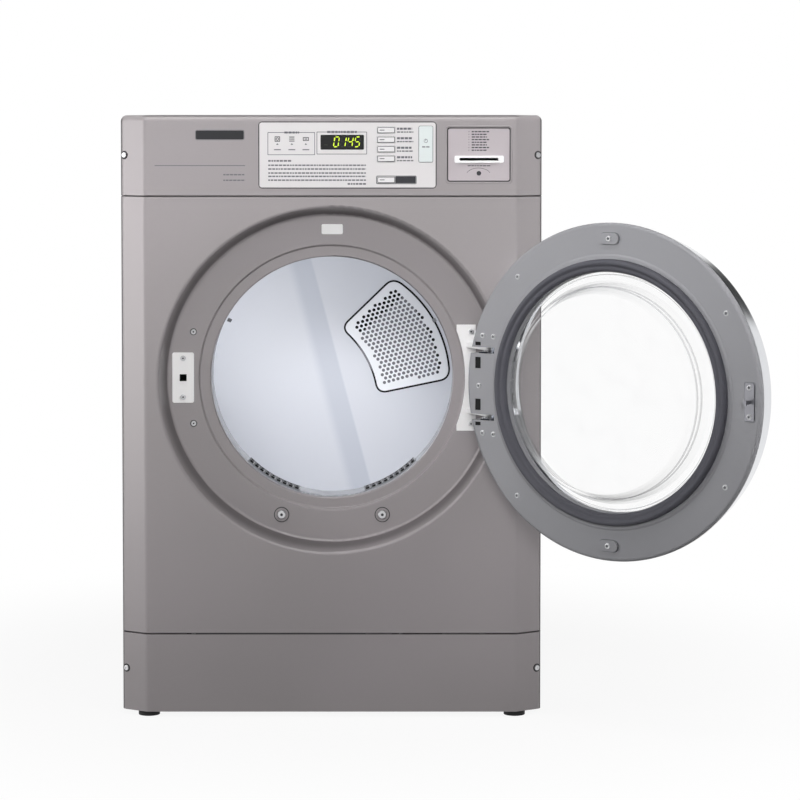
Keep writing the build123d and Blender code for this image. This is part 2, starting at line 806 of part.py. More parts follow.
def outlet_holes():
    holes = []
    for first, last in ((outlet_angles[0], outlet_angles[1]), (outlet_angles[2], outlet_angles[3])):
        for column in range(outlet_columns):
            angle = first + (last - first) * (column + 1 / 2) / outlet_columns
            for row in range(outlet_rows):
                y = throat_start_y + outlet_row_pitch * (row + 1 / 2)
                hole = Pos(throat_radius, 0, 0) * Rot(0, 90, 0) * Cylinder(outlet_hole_radius, overrun * 2)
                holes.append(Pos(0, y, opening_height) * Rot(0, -angle, 0) * hole)
    return holes


def front_tub():
    outer = throat_radius + throat_wall
    tub = slab(-inner_x, inner_x, bulkhead_y, bulkhead_y + bulkhead_wall, bulkhead_low, bulkhead_top)
    tub -= rod(0, opening_height, outer, bulkhead_y - overrun, bulkhead_y + overrun)
    tub += ring(0, opening_height, outer, throat_radius, throat_start_y, throat_end_y)
    tub += ring(0, opening_height, felt_rim_radius, felt_rim_radius - felt_rim_wall, bulkhead_y, felt_rim_end_y)
    tub = tub - outlet_holes()
    tub -= slab(-filter_slot_half, filter_slot_half, filter_y - filter_depth / 2 - filter_play,
                filter_y + filter_depth / 2 + filter_play, bulkhead_low, opening_height)
    for x, z in roller_places():
        tub -= rod(x, z, roller_shaft_radius, bulkhead_y - overrun, bulkhead_y + overrun)
    for x, z in lint_screw_places():
        tub -= rod(x, z, screw_head_radius, throat_start_y, throat_start_y + overrun)
    return tub


# Lint filter: a framed screen that lifts out of the throat
filter_top_drop = throat_radius + throat_wall
filter_height = 190.0
filter_rail = 9.0
filter_screen = 1.2
filter_half = filter_slot_half - filter_play
filter_handle = 12.0


def lint_filter():
    crown = rod(0, opening_height, throat_radius, filter_y - filter_depth, filter_y + filter_depth)
    low = opening_height - filter_top_drop - filter_height
    body = slab(-filter_half, filter_half, filter_y - filter_depth / 2, filter_y + filter_depth / 2,
                low, opening_height - throat_radius / 2)
    body -= crown
    rise = opening_height - sqrt(throat_radius ** 2 - filter_half ** 2) - filter_handle - filter_rail
    body -= slab(-filter_half + filter_rail, filter_half - filter_rail, filter_y - filter_depth,
                 filter_y + filter_depth, low + filter_rail, rise - filter_rail)
    body += slab(-filter_half + filter_rail, filter_half - filter_rail, filter_y - filter_screen / 2,
                 filter_y + filter_screen / 2, low + filter_rail, rise - filter_rail)
    return body


# Drum, with a flange at each end that runs on a felt ring
drum_wall = 1.2
felt_thickness = 5.0
drum_flange_radius = felt_rim_radius + felt_thickness
lifter_angles = (90.0, 210.0, 330.0)
lifter_height = 62.0
lifter_base_half = 36.0
lifter_tip_half = 15.0
lifter_round = 8.0
lifter_wall = 3.0
lifter_end = 45.0  # from each end of the drum


def drum():
    shell = ring(0, opening_height, drum_radius, drum_radius - drum_wall, drum_front_y, drum_rear_y)
    for y in (drum_front_y, drum_rear_y - drum_wall):
        shell += ring(0, opening_height, drum_radius, drum_flange_radius, y, y + drum_wall)
    return shell


def lifter_bar(inset):
    base, tip = drum_radius + overrun, drum_radius - drum_wall - lifter_height + inset
    section = outline([
        (base, inset - lifter_base_half), (base, lifter_base_half - inset),
        (tip, lifter_tip_half - inset, lifter_round), (tip, inset - lifter_tip_half, lifter_round),
    ])
    return prism(section, drum_front_y + lifter_end + inset, drum_rear_y - lifter_end - inset)


def lifter(angle):
    bar = lifter_bar(0) - lifter_bar(lifter_wall)
    bar = Rot(0, -angle, 0) * bar
    bar = bar & rod(0, 0, drum_radius - drum_wall, drum_front_y, drum_rear_y)
    return Pos(0, 0, opening_height) * bar


# Felt rings, glued round the two rims
felt_length = 8.0


def drum_seals():
    outer = drum_flange_radius - running_gap
    front = ring(0, opening_height, outer, felt_rim_radius, drum_front_y - felt_length / 4,
                 drum_front_y + felt_length)
    rear = ring(0, opening_height, outer, felt_rim_radius, drum_rear_y - felt_length,
                drum_rear_y + felt_length / 4)
    return front, rear


# Rollers that carry the drum, two at each end
roller_radius = 35.0
roller_width = 20.0
roller_angle = 32.0  # from straight down
roller_shaft_radius = 6.0
roller_inset = 8.0  # from the drum's end
roller_groove = 2.0
clip_radius = 9.0
clip_wall = 1.2
roller_circle = drum_radius + roller_radius + running_gap
roller_names = ("left_roller", "right_roller")


def roller_places():
    return [(side * roller_circle * sin(radians(roller_angle)),
             opening_height - roller_circle * cos(radians(roller_angle))) for side in (-1, 1)]


def roller(x, z, y):
    wheel = ring(x, z, roller_radius, roller_shaft_radius + fit_gap, y, y + roller_width)
    groove = ring(x, z, roller_radius + overrun, roller_radius - roller_groove,
                  y + roller_width / 2 - roller_groove, y + roller_width / 2 + roller_groove)
    return wheel - groove


front_roller_y = drum_front_y + roller_inset
rear_roller_y = drum_rear_y - roller_inset - roller_width


def roller_shafts():
    shafts = []
    for x, z in roller_places():
        end = front_roller_y + roller_width + clip_wall + running_gap
        shafts.append(rod(x, z, roller_shaft_radius, bulkhead_y, end))
        shafts[-1] += ring(x, z, clip_radius, roller_shaft_radius - fit_gap, end - clip_wall, end)
        shafts[-1] += ring(x, z, clip_radius, roller_shaft_radius - fit_gap, bulkhead_y + bulkhead_wall,
                           front_roller_y - running_gap)
        start = rear_roller_y - clip_wall - running_gap
        shafts.append(rod(x, z, roller_shaft_radius, start, panel_y))
        shafts[-1] += ring(x, z, clip_radius, roller_shaft_radius - fit_gap, start, start + clip_wall)
        shafts[-1] += ring(x, z, clip_radius, roller_shaft_radius - fit_gap,
                           rear_roller_y + roller_width + running_gap, panel_y)
    return shafts


# Rear tub: the drum's still rear wall, with the hot air inlet
rear_tub_wall = 1.5
rear_tub_gap = 10.0  # to the rear panel
rear_tub_y = panel_y - rear_tub_gap
rear_tub_start_y = drum_rear_y - felt_length - sheet
grille_span = 200.0
grille_x = 7.0  # its left corner from the drum's axis
grille_base = -93.0  # its lowest corner from the drum's axis
grille_margin = 9.0
grille_wall = 2.5
grille_rise = 1.5
grille_hole_radius = 2.45
grille_pitch = 8.9
grille_tilt = 32.0
grille_corner = 15.0
# Corners and bows of the inlet, as shares of its span from the left and lowest corners
grille_top_shares = (0.47, 1.08)
grille_outer_bow_shares = (0.87, 0.645)
grille_right_shares = (0.995, 0.15)
grille_low_shares = (0.35, 0.0)
grille_inner_bow_shares = (0.20, 0.335)
grille_left_shares = (0.0, 0.62)


def grille_outline(inset):
    def at(shares):
        return (grille_x + grille_span * shares[0], opening_height + grille_base + grille_span * shares[1])

    top, right, low, left = (at(shares) for shares in (
        grille_top_shares, grille_right_shares, grille_low_shares, grille_left_shares))
    border = ThreePointArc(top, at(grille_outer_bow_shares), right) + Line(right, low)
    border += ThreePointArc(low, at(grille_inner_bow_shares), left) + Line(left, top)
    face = make_face(border)
    face = fillet(face.vertices(), grille_corner)
    return offset(face, inset) if inset else face


def rear_tub():
    tub = rod(0, opening_height, felt_rim_radius, rear_tub_y, rear_tub_y + rear_tub_wall)
    tub += ring(0, opening_height, felt_rim_radius, felt_rim_radius - felt_rim_wall, rear_tub_start_y, panel_y)
    return tub - prism(grille_outline(-grille_margin / 2), rear_tub_y - overrun, rear_tub_y + overrun)


# Inlet grille: a perforated plate over the hole in the rear tub
def inlet_grille():
    plate = prism(grille_outline(0), rear_tub_y - grille_rise, rear_tub_y)
    field = grille_outline(-grille_margin)
    box = field.bounding_box()
    count = int(box.diagonal / grille_pitch)
    centre = box.center()
    holes = []
    for row in range(-count, count):
        for column in range(-count, count):
            across = grille_pitch * (column + (row % 2) / 2)
            along = grille_pitch * row * sqrt(3) / 2
            spot = Vector(across, along).rotate(Axis.Z, grille_tilt) + Vector(centre.X, centre.Y)
            if field.faces()[0].is_inside(spot):
                holes.append(Pos(spot.X, spot.Y) * Circle(grille_hole_radius))
    return plate - prism(Sketch() + holes, rear_tub_y - grille_rise - overrun, rear_tub_y + overrun)


# Motor, in a cradle on the base pan; its shaft drives the blower in front and the belt behind
motor_x = -130.0
motor_z = 120.0
motor_radius = 60.0
motor_depth = 235.0  # behind the front face
motor_start_y = front_y + motor_depth
motor_length = 140.0
motor_round = 10.0
motor_shaft_radius = 6.35
motor_boss_radius = 18.0
motor_boss_length = 12.0
pulley_radius = 14.0
pulley_depth = 420.0
pulley_y = front_y + pulley_depth
belt_width = 10.0
belt_thickness = 3.0
pulley_margin = 8.0
pulley_length = belt_width + pulley_margin
cradle_width = 110.0
cradle_length = 100.0
cradle_wall = 3.0
motor_rail = 12.0  # from the motor's ends to its rails


def motor():
    end = motor_start_y + motor_length
    body = rod(motor_x, motor_z, motor_radius, motor_start_y, end)
    body = fillet(body.edges(), motor_round)
    body += rod(motor_x, motor_z, motor_boss_radius, motor_start_y - motor_boss_length, end + motor_boss_length)
    foot_z = motor_z - motor_radius - cradle_wall
    body += slab(motor_x - cradle_width / 4, motor_x + cradle_width / 4, motor_start_y + motor_rail,
                 end - motor_rail, foot_z, motor_z)
    return body - rod(motor_x, motor_z, motor_shaft_radius + fit_gap, motor_start_y - long_overrun,
                      end + long_overrun)


def motor_cradle():
    top = motor_z - motor_radius - cradle_wall
    y0 = motor_start_y + (motor_length - cradle_length) / 2
    block = slab(motor_x - cradle_width / 2, motor_x + cradle_width / 2, y0, y0 + cradle_length, pan_top, top)
    return block - slab(motor_x - cradle_width / 2 + cradle_wall, motor_x + cradle_width / 2 - cradle_wall,
                        y0 - overrun, y0 + cradle_length + overrun, pan_top + cradle_wall, top - cradle_wall)


# Blower: a wheel in a scroll, fed by the lint duct in front of it
blower_radius = 74.0
blower_start_y = bulkhead_y
blower_depth = 62.0
scroll_radius = 96.0
housing_wall = 2.0
inlet_radius = 58.0
blade_count = 16
blade_wall = 2.0
blade_length = 22.0
wheel_wall = 2.0
wheel_gap = 6.0
wheel_hub_radius = 14.0
duct_start_y = throat_start_y + sheet
duct_end_y = bulkhead_y
outlet_margin = 6.0
outlet_top = exhaust_z + exhaust_radius + outlet_margin


def rotor_shaft():
    front = blower_start_y + housing_wall + wheel_gap
    shaft = rod(motor_x, motor_z, motor_shaft_radius, front, pulley_y + pulley_length)
    wheel = rod(motor_x, motor_z, pulley_radius, pulley_y, pulley_y + pulley_length)
    lips = 2 * fit_gap + (pulley_length - belt_width) / 4
    for y in (pulley_y, pulley_y + pulley_length - lips):
        wheel += rod(motor_x, motor_z, pulley_radius + belt_thickness, y, y + lips)
    return shaft + wheel


def blower_wheel():
    front = blower_start_y + housing_wall + wheel_gap
    back = blower_start_y + blower_depth - housing_wall - wheel_gap
    wheel = rod(motor_x, motor_z, blower_radius, back - wheel_wall, back)
    wheel += rod(motor_x, motor_z, wheel_hub_radius, front + wheel_gap, back)
    wheel += ring(motor_x, motor_z, blower_radius, blower_radius - wheel_gap, front, front + wheel_wall)
    middle = blower_radius - blade_length / 2
    for blade in range(blade_count):
        turn = 360 * blade / blade_count
        vane = Pos(middle, (front + back) / 2, 0) * Box(blade_length, back - front, blade_wall)
        wheel += Pos(motor_x, 0, motor_z) * Rot(0, turn, 0) * vane
    return wheel - rod(motor_x, motor_z, motor_shaft_radius, front - overrun, back + overrun)


# The lint duct's outline, from the throat down to the blower
duct_mouth_half = 152.0
duct_mouth_drop = 120.0  # from the drum's axis
duct_shelf_drop = 234.0
duct_mouth_z = opening_height - duct_mouth_drop
duct_shelf_z = opening_height - duct_shelf_drop
duct_neck_half = 72.0
duct_neck_drop = 290.0
duct_side_drop = 320.0
duct_neck_low_drop = 402.0
duct_neck_z = opening_height - duct_neck_drop
duct_side_z = opening_height - duct_side_drop
duct_neck_low_z = opening_height - duct_neck_low_drop
duct_low_z = 30.0
duct_round = 14.0


def duct_outline(inset):
    left, right = motor_x - scroll_radius + inset, motor_x + scroll_radius - inset
    mouth, neck = duct_mouth_half - inset, duct_neck_half - inset
    return outline([
        (-mouth, duct_mouth_z + inset), (-mouth, duct_shelf_z + inset),
        (left, duct_side_z, duct_round), (left, duct_low_z + inset, duct_round),
        (right, duct_low_z + inset, duct_round), (neck, duct_neck_low_z, duct_round),
        (neck, duct_neck_z, duct_round), (mouth, duct_shelf_z + inset), (mouth, duct_mouth_z + inset),
    ])


def blower_housing():
    wall, back = housing_wall, blower_start_y + blower_depth
    duct = prism(duct_outline(0), duct_start_y, duct_end_y)
    duct -= prism(duct_outline(wall), duct_start_y + wall, duct_end_y - wall)
    duct -= rod(0, opening_height, throat_radius + throat_wall + running_gap, duct_start_y - overrun, duct_end_y)
    low, high = exhaust_z - exhaust_radius - wall, outlet_top
    right = exhaust_x + exhaust_radius + 2 * wall
    scroll = rod(motor_x, motor_z, scroll_radius, blower_start_y, back)
    scroll += slab(motor_x, right, blower_start_y, back, low, high)
    hollow = rod(motor_x, motor_z, scroll_radius - wall, blower_start_y + wall, back - wall)
    hollow += slab(motor_x, right - wall, blower_start_y + wall, back - wall, low + wall, high - wall)
    scroll -= hollow
    housing = duct + scroll
    housing -= rod(motor_x, motor_z, inlet_radius, duct_end_y - overrun, blower_start_y + overrun)
    housing -= rod(motor_x, motor_z, motor_boss_radius, back - overrun, back + overrun)
    housing -= rod(exhaust_x, exhaust_z, exhaust_bore, back - overrun, back + overrun)
    for x, z in lint_screw_places():
        housing -= Pos(x, floor_y, z) * screw_hole(lint_screw_scale_share)
    return housing


def exhaust_duct():
    duct = ring(exhaust_x, exhaust_z, exhaust_bore + exhaust_wall, exhaust_bore,
                blower_start_y + blower_depth, rear_y)
    return duct + ring(exhaust_x, exhaust_z, exhaust_radius, exhaust_bore, rear_y, rear_y + exhaust_reach)


# Belt, from the drum down to the motor's pulley
belt_y = pulley_y + pulley_length / 2
belt_inner = drum_radius + running_gap
belt_pulley = pulley_radius + running_gap


# The outline round the drum's circle and the pulley's, each wider by the same amount.
def belt_outline(extra):
    big, small = belt_inner + extra, belt_pulley + extra
    dx, dz = motor_x, motor_z - opening_height
    length = hypot(dx, dz)
    lean = acos((big - small) / length)
    towards = atan2(dz, dx)
    sides = [(cos(towards + side * lean), sin(towards + side * lean)) for side in (-1, 1)]
    drum_at = [(big * c, opening_height + big * s) for c, s in sides]
    pulley_at = [(motor_x + small * c, motor_z + small * s) for c, s in sides]
    far = (-big * cos(towards), opening_height - big * sin(towards))
    tip = (motor_x + small * cos(towards), motor_z + small * sin(towards))
    border = ThreePointArc(drum_at[0], far, drum_at[1]) + Line(drum_at[1], pulley_at[1])
    border += ThreePointArc(pulley_at[1], tip, pulley_at[0]) + Line(pulley_at[0], drum_at[0])
    return make_face(border)


def drum_belt():
    y0, y1 = belt_y - belt_width / 2, belt_y + belt_width / 2
    return prism(belt_outline(belt_thickness), y0, y1) - prism(belt_outline(0), y0 - overrun, y1 + overrun)


# Idler: a sprung arm that presses a pulley on the belt's left run
idler_radius = 26.0
idler_along = 105.0  # from the motor pulley, along the belt
idler_pin_radius = 4.0
idler_arm_width = 18.0
idler_arm_wall = 4.0
idler_pivot_radius = 6.0
idler_foot_gap = 125.0  # to the motor's axis
idler_foot_rise = 26.0
idler_foot_x = motor_x - idler_foot_gap
idler_foot_z = pan_top + idler_foot_rise
idler_block = 30.0
idler_plate_gap = 3.0


def idler_place():
    length = hypot(motor_x, opening_height - motor_z)
    lean = acos((belt_inner - belt_pulley) / length)
    towards = atan2(motor_z - opening_height, motor_x)
    normal = (cos(towards - lean), sin(towards - lean))
    run = (-normal[1], normal[0])
    if run[1] < 0:
        run = (-run[0], -run[1])
    offset_out = belt_pulley + belt_thickness + running_gap + idler_radius
    return (motor_x + normal[0] * offset_out + run[0] * idler_along,
            motor_z + normal[1] * offset_out + run[1] * idler_along)


def idler_arm():
    x, z = idler_place()
    y0 = belt_y + belt_width / 2 + idler_plate_gap
    y1 = y0 + idler_arm_wall
    run = hypot(x - idler_foot_x, z - idler_foot_z)
    turn = degrees(atan2(z - idler_foot_z, x - idler_foot_x))
    arm = Pos(idler_foot_x, (y0 + y1) / 2, idler_foot_z) * Rot(0, -turn, 0) * Pos(run / 2, 0, 0) * Box(
        run, idler_arm_wall, idler_arm_width)
    for px, pz in ((x, z), (idler_foot_x, idler_foot_z)):
        arm += rod(px, pz, idler_arm_width / 2, y0, y1)
    arm += rod(x, z, idler_pin_radius, belt_y - belt_width / 2 - idler_arm_wall, y1)
    arm -= rod(idler_foot_x, idler_foot_z, idler_pivot_radius + fit_gap, y0 - overrun, y1 + overrun)
    return arm


def idler_pulley():
    x, z = idler_place()
    y0, y1 = belt_y - belt_width / 2 - sheet, belt_y + belt_width / 2 + sheet
    return ring(x, z, idler_radius, idler_pin_radius + fit_gap, y0, y1)


def idler_stand():
    y0 = belt_y + belt_width / 2 + idler_plate_gap + idler_arm_wall + running_gap
    half = idler_block / 2
    stand = slab(idler_foot_x - half, idler_foot_x + half, y0, y0 + idler_arm_wall,
                 pan_top, idler_foot_z + half)
    stand += slab(idler_foot_x - half, idler_foot_x + half, y0, y0 + idler_block, pan_top, pan_top + cradle_wall)
    pin_start = y0 - 2 * idler_arm_wall - running_gap
    return stand + rod(idler_foot_x, idler_foot_z, idler_pivot_radius, pin_start, y0)


# Burner: gas valve, venturi and the tube that leads the flame back
tube_depth = 232.0  # behind the front face
tube_start_y = front_y + tube_depth
tube_wall = 1.2
tube_leg_width = 40.0
tube_leg_wall = 3.0
tube_leg_gap = 80.0  # from each end
valve_width = 62.0
valve_depth = 54.0
valve_height = 44.0
valve_start = 130.0  # behind the front face
valve_y = front_y + valve_start
coil_radius = 15.0
coil_height = 34.0
coil_spread = 16.0
valve_nozzle_radius = 12.0
venturi_radius = 30.0
venturi_length = 30.0


def burner_tube():
    tube = ring(burner_x, burner_z, burner_radius, burner_radius - tube_wall, tube_start_y, rear_y)
    cone = rod(burner_x, burner_z, burner_radius, tube_start_y - venturi_length, tube_start_y)
    tube += cone - rod(burner_x, burner_z, venturi_radius, tube_start_y - venturi_length - overrun,
                       tube_start_y + overrun)
    for y in (tube_start_y + tube_leg_gap, panel_y - tube_leg_gap):
        leg = slab(burner_x - tube_leg_width / 2, burner_x + tube_leg_width / 2, y, y + tube_leg_wall,
                   pan_top, burner_z)
        tube += leg - rod(burner_x, burner_z, burner_radius - tube_wall, y - overrun, y + long_overrun)
    return tube


def gas_valve():
    x0, x1 = burner_x - valve_width / 2, burner_x + valve_width / 2
    z0, z1 = burner_z - valve_height / 2, burner_z + valve_height / 2
    end = valve_y + valve_depth
    valve = slab(x0, x1, valve_y, end, z0, z1)
    for side in (-1, 1):
        valve += post(burner_x + side * coil_spread, (valve_y + end) / 2, coil_radius, z1, z1 + coil_height)
    valve += rod(burner_x, burner_z, valve_nozzle_radius, end, tube_start_y - venturi_length / 2)
    valve += slab(x0, x1, valve_y, valve_y + tube_leg_wall, pan_top, z0)
    return valve


# Gas pipe, from the fitting at the back along the base to the valve
pipe_bend = 28.0
pipe_rise = 40.0  # of its front run
pipe_slope_length = 80.0
gas_bore_radius = 5.0


def gas_pipe():
    start_y = valve_y + valve_depth / 2
    x0 = burner_x - valve_width / 2
    high = gas_z + pipe_rise
    route = FilletPolyline((x0, start_y, high), (gas_x, start_y, high),
                           (gas_x, start_y + pipe_slope_length, gas_z), (gas_x, rear_y, gas_z), radius=pipe_bend)
    profile = Plane(origin=route @ 0, z_dir=route % 0) * Circle(gas_pipe_radius)
    pipe = sweep(profile, path=route)
    end = rear_y + gas_fitting_reach
    pipe += rod(gas_x, gas_z, gas_fitting_radius, rear_y, end)
    return pipe - rod(gas_x, gas_z, gas_bore_radius, rear_y - long_overrun, end + overrun)


# Hot air duct on the rear panel, from the burner tube up to the inlet
duct_wall = 1.0
duct_depth = 36.0
duct_flange = 14.0
duct_left_x = -28.0
duct_side_gap = 43.0
duct_right_x = half_width - duct_side_gap
duct_bottom_z = 52.0
duct_burner_width = 150.0
duct_rise = 154.0  # above the drum's axis
duct_waist_low_drop = 342.0  # below it
duct_waist_high_drop = 152.0
duct_burner_left_x = duct_right_x - duct_burner_width
duct_top_z = opening_height + duct_rise
duct_waist_low_z = opening_height - duct_waist_low_drop
duct_waist_high_z = opening_height - duct_waist_high_drop
duct_corner = 26.0


def heat_outline(grow):
    return outline([
        (duct_burner_left_x - grow, duct_bottom_z - grow, duct_corner),
        (duct_right_x + grow, duct_bottom_z - grow, duct_corner),
        (duct_right_x + grow, duct_top_z + grow, duct_corner),
        (duct_left_x - grow, duct_top_z + grow, duct_corner),
        (duct_left_x - grow, duct_waist_high_z, duct_corner),
        (duct_burner_left_x - grow, duct_waist_low_z, duct_corner),
    ])


def duct_screw_places():
    off = duct_flange / 2
    right, left = duct_right_x + off, duct_left_x - off
    middle_z = (duct_bottom_z + duct_top_z) / 2
    return [
        (right, duct_bottom_z + duct_corner), (right, middle_z), (right, duct_top_z - duct_corner),
        (left, duct_top_z - duct_corner), (left, duct_waist_high_z + duct_corner),
        (duct_burner_left_x - off, duct_bottom_z + duct_corner),
    ]


def heat_duct():
    cover = prism(heat_outline(0), rear_y, rear_y + duct_depth)
    cover += prism(heat_outline(duct_flange), rear_y, rear_y + duct_wall)
    cover -= prism(heat_outline(-duct_wall), rear_y - overrun, rear_y + duct_depth - duct_wall)
    for x, z in duct_screw_places():
        cover -= Pos(x, rear_y + duct_wall, z) * Rot(0, 0, 180) * screw_hole()
    return cover


# Control fascia
fascia_low = fascia_seam_height + seam / 2
insert_width = 285.4
insert_height = 105.3
insert_drop = 11.6  # below the cabinet's top
insert_round = 4.0
insert_rise = 1.0
insert_wall = 3.5
insert_play = 0.3
card_side_gap = 52.1
card_gap = 18.8  # to the insert
card_width = 102.5
card_height = 87.5
card_drop = 19.8
card_round = 3.0
card_sunk = 1.5
card_wall = 2.0
card_left = half_width - card_side_gap - card_width
insert_left = card_left - card_gap - insert_width
insert_low = cabinet_height - insert_drop - insert_height
insert_top = cabinet_height - insert_drop
card_low = cabinet_height - card_drop - card_height
card_top = cabinet_height - card_drop


def panel_outline(left, low, width, height, radius, grow):
    return outline([
        (left - grow, low - grow, radius), (left + width + grow, low - grow, radius),
        (left + width + grow, low + height + grow, radius), (left - grow, low + height + grow, radius),
    ])


def control_fascia():
    block = Pos(0, 0, fascia_low) * extrude(front_plan(), amount=cabinet_height - fascia_low)
    top = [edge for edge in block.edges().group_by(Axis.Z)[-1] if edge.center().Y < return_y - sheet]
    block = fillet(top, top_round)
    room = Pos(0, 0, fascia_low - overrun) * extrude(
        front_hollow(moulding), amount=cabinet_height - moulding - fascia_low + overrun)
    inner = [edge for edge in room.edges().group_by(Axis.Z)[-1] if edge.center().Y < return_y + sheet]
    fascia = block - fillet(inner, top_round - moulding)
    insert = panel_outline(insert_left, insert_low, insert_width, insert_height, insert_round, insert_play)
    fascia -= prism(insert, front_y - overrun, front_y + long_overrun)
    card = panel_outline(card_left, card_low, card_width, card_height, card_round, insert_play)
    fascia -= prism(card, front_y - overrun, front_y + long_overrun)
    for place in side_screws(fascia_screw_height):
        fascia -= place * screw_hole()
    return fascia


# Controls, placed from the insert's left and top edges
window_left = 99.0
window_top = 19.9
window_width = 70.3
window_height = 24.1
program_left = 190.5
program_width = 29.4
program_height = 10.9
program_top = 6.9
program_pitch = 15.4
pause_top = 87.4
start_left = 258.4
start_width = 22.1
start_top = 6.2
start_height = 57.8
button_rise = 1.2  # beyond the insert's face
button_round = 2.0
button_stem_inset = 3.0
button_stem = 4.0
button_travel = 1.0
button_count = 4
insert_face_y = front_y - insert_rise
insert_back_y = insert_face_y + insert_wall


def button_outline(left, top, width, height, grow):
    return panel_outline(insert_left + left, insert_top - top - height, width, height, button_round, grow)


def button_places():
    places = {}
    for number in range(button_count):
        top = program_top + number * program_pitch
        places[f"program_button_{number + 1}"] = (program_left, top, program_width, program_height)
    places["pause_button"] = (program_left, pause_top, program_width, program_height)
    places["start_button"] = (start_left, start_top, start_width, start_height)
    return places


def control_insert():
    face = panel_outline(insert_left, insert_low, insert_width, insert_height, insert_round, 0)
    plate = prism(face, insert_face_y, insert_back_y)
    for place in button_places().values():
        plate -= prism(button_outline(*place, running_gap), insert_face_y - overrun, insert_back_y + overrun)
    window = panel_outline(insert_left + window_left, insert_top - window_top - window_height,
                           window_width, window_height, button_round, fit_gap)
    return plate - prism(window, insert_face_y - overrun, insert_back_y + overrun)


def display_window():
    window = panel_outline(insert_left + window_left, insert_top - window_top - window_height,
                           window_width, window_height, button_round, 0)
    return prism(window, insert_face_y + fit_gap, board_y)


def button(place):
    head = prism(button_outline(*place, 0), insert_face_y - button_rise, insert_back_y)
    edges = head.edges().group_by(Axis.Y)[0]
    head = chamfer(edges, button_rise / 2)
    left, top, width, height = place
    stem = button_outline(left + button_stem_inset, top + button_stem_inset,
                          width - 2 * button_stem_inset, height - 2 * button_stem_inset, 0)
    return head + prism(stem, insert_back_y, insert_back_y + button_stem)


# Control board behind the insert, on two rails
board_wall = 1.6
board_y = insert_back_y + button_stem + button_travel + running_gap
board_margin = 6.0
board_chip = 18.0
board_chip_left = 108.0
board_chip_pitch = 36.0
board_chip_height = 5.0
board_transformer = 36.0
rail_width = 4.0


def control_board():
    left, right = insert_left + board_margin, insert_left + insert_width - board_margin
    low, high = insert_low + board_margin, insert_top - board_margin
    board = slab(left, right, board_y, board_y + board_wall, low, high)
    back = board_y + board_wall
    chips = [(left + board_chip_left + board_chip_pitch * step, low + board_transformer) for step in range(3)]
    for x, z in chips:
        board += slab(x, x + board_chip, back, back + board_chip_height, z, z + board_chip)
    board += slab(left + board_chip, left + board_chip + board_transformer, back,
                  back + board_transformer, low + board_chip, low + board_chip + board_transformer)
    for x in (insert_left, insert_left + insert_width - rail_width):
        board += slab(x, x + rail_width, insert_back_y, back, low, high)
    for x0, x1 in ((insert_left, left), (right, insert_left + insert_width)):
        board += slab(x0, x1, board_y, back, low, high)
    return board


# Card reader: a sunk plate with the slot's bezel
slot_left = 19.9
slot_width = 62.6
slot_height = 4.6
slot_drop = 49.0  # slot's top below the plate's
bezel_left = 11.7
bezel_width = 80.0
bezel_height = 11.5
bezel_rise = 3.0
bezel_round = 2.5
reader_depth = 40.0
reader_wall = 2.0
lock_drop = 74.0
lock_radius = 4.0
lock_rise = 1.5
card_face_y = front_y + card_sunk


def slot_room(grow):
    x0, z1 = card_left + slot_left, card_top - slot_drop
    return (x0 - grow, x0 + slot_width + grow, z1 - slot_height - grow, z1 + grow)


def card_reader_plate():
    face = panel_outline(card_left, card_low, card_width, card_height, card_round, 0)
    plate = prism(face, card_face_y, card_face_y + card_wall)
    x0, x1, z0, z1 = slot_room(reader_wall + running_gap)
    plate -= slab(x0, x1, card_face_y - overrun, card_face_y + overrun, z0, z1)
    x = card_left + card_width / 2
    plate += rod(x, card_top - lock_drop, lock_radius, card_face_y - lock_rise, card_face_y + card_wall)
    return plate


def card_slot_bezel():
    x0, x1, z0, z1 = slot_room(0)
    middle_z = (z0 + z1) / 2
    face = panel_outline(card_left + bezel_left, middle_z - bezel_height / 2, bezel_width, bezel_height,
                         bezel_round, 0)
    bezel = prism(face, card_face_y - bezel_rise, card_face_y)
    a0, a1, b0, b1 = slot_room(reader_wall)
    bezel += slab(a0, a1, card_face_y - bezel_rise / 2, card_face_y + reader_depth, b0, b1)
    return bezel - slab(x0, x1, card_face_y - bezel_rise - overrun, card_face_y + reader_depth + overrun, z0, z1)


def cabinet_screws():
    screws = []
    for x, z in floor_screw_places():
        screws.append(Pos(x, floor_y, z) * screw())
    for x, z in strike_screw_places():
        screws.append(Pos(x, floor_y - strike_wall, z) * screw())
    for x, z in hinge_screw_places():
        screws.append(Pos(x, floor_y - hinge_plate_wall, z) * screw())
    for x, z in lint_screw_places():
        screws.append(Pos(x, floor_y, z) * screw(lint_screw_scale_share))
    for height in (kick_screw_height, fascia_screw_height):
        screws += [place * screw() for place in side_screws(height)]
    for x, z in duct_screw_places():
        screws.append(Pos(x, rear_y + duct_wall, z) * Rot(0, 0, 180) * screw())
    return screws


def door_screws():
    small = screw(door_screw_scale_share)
    screws = [back_screw(x, liner_y, z, small) for x, z in door_screw_places()]
    screws += [back_screw(x, liner_y + pad_rise, z, screw(pad_screw_scale_share)) for x, z in pad_places()]
    screws += [back_screw(x, liner_y + latch_plate_wall, z, small) for x, z in latch_screw_places()]
    return screws


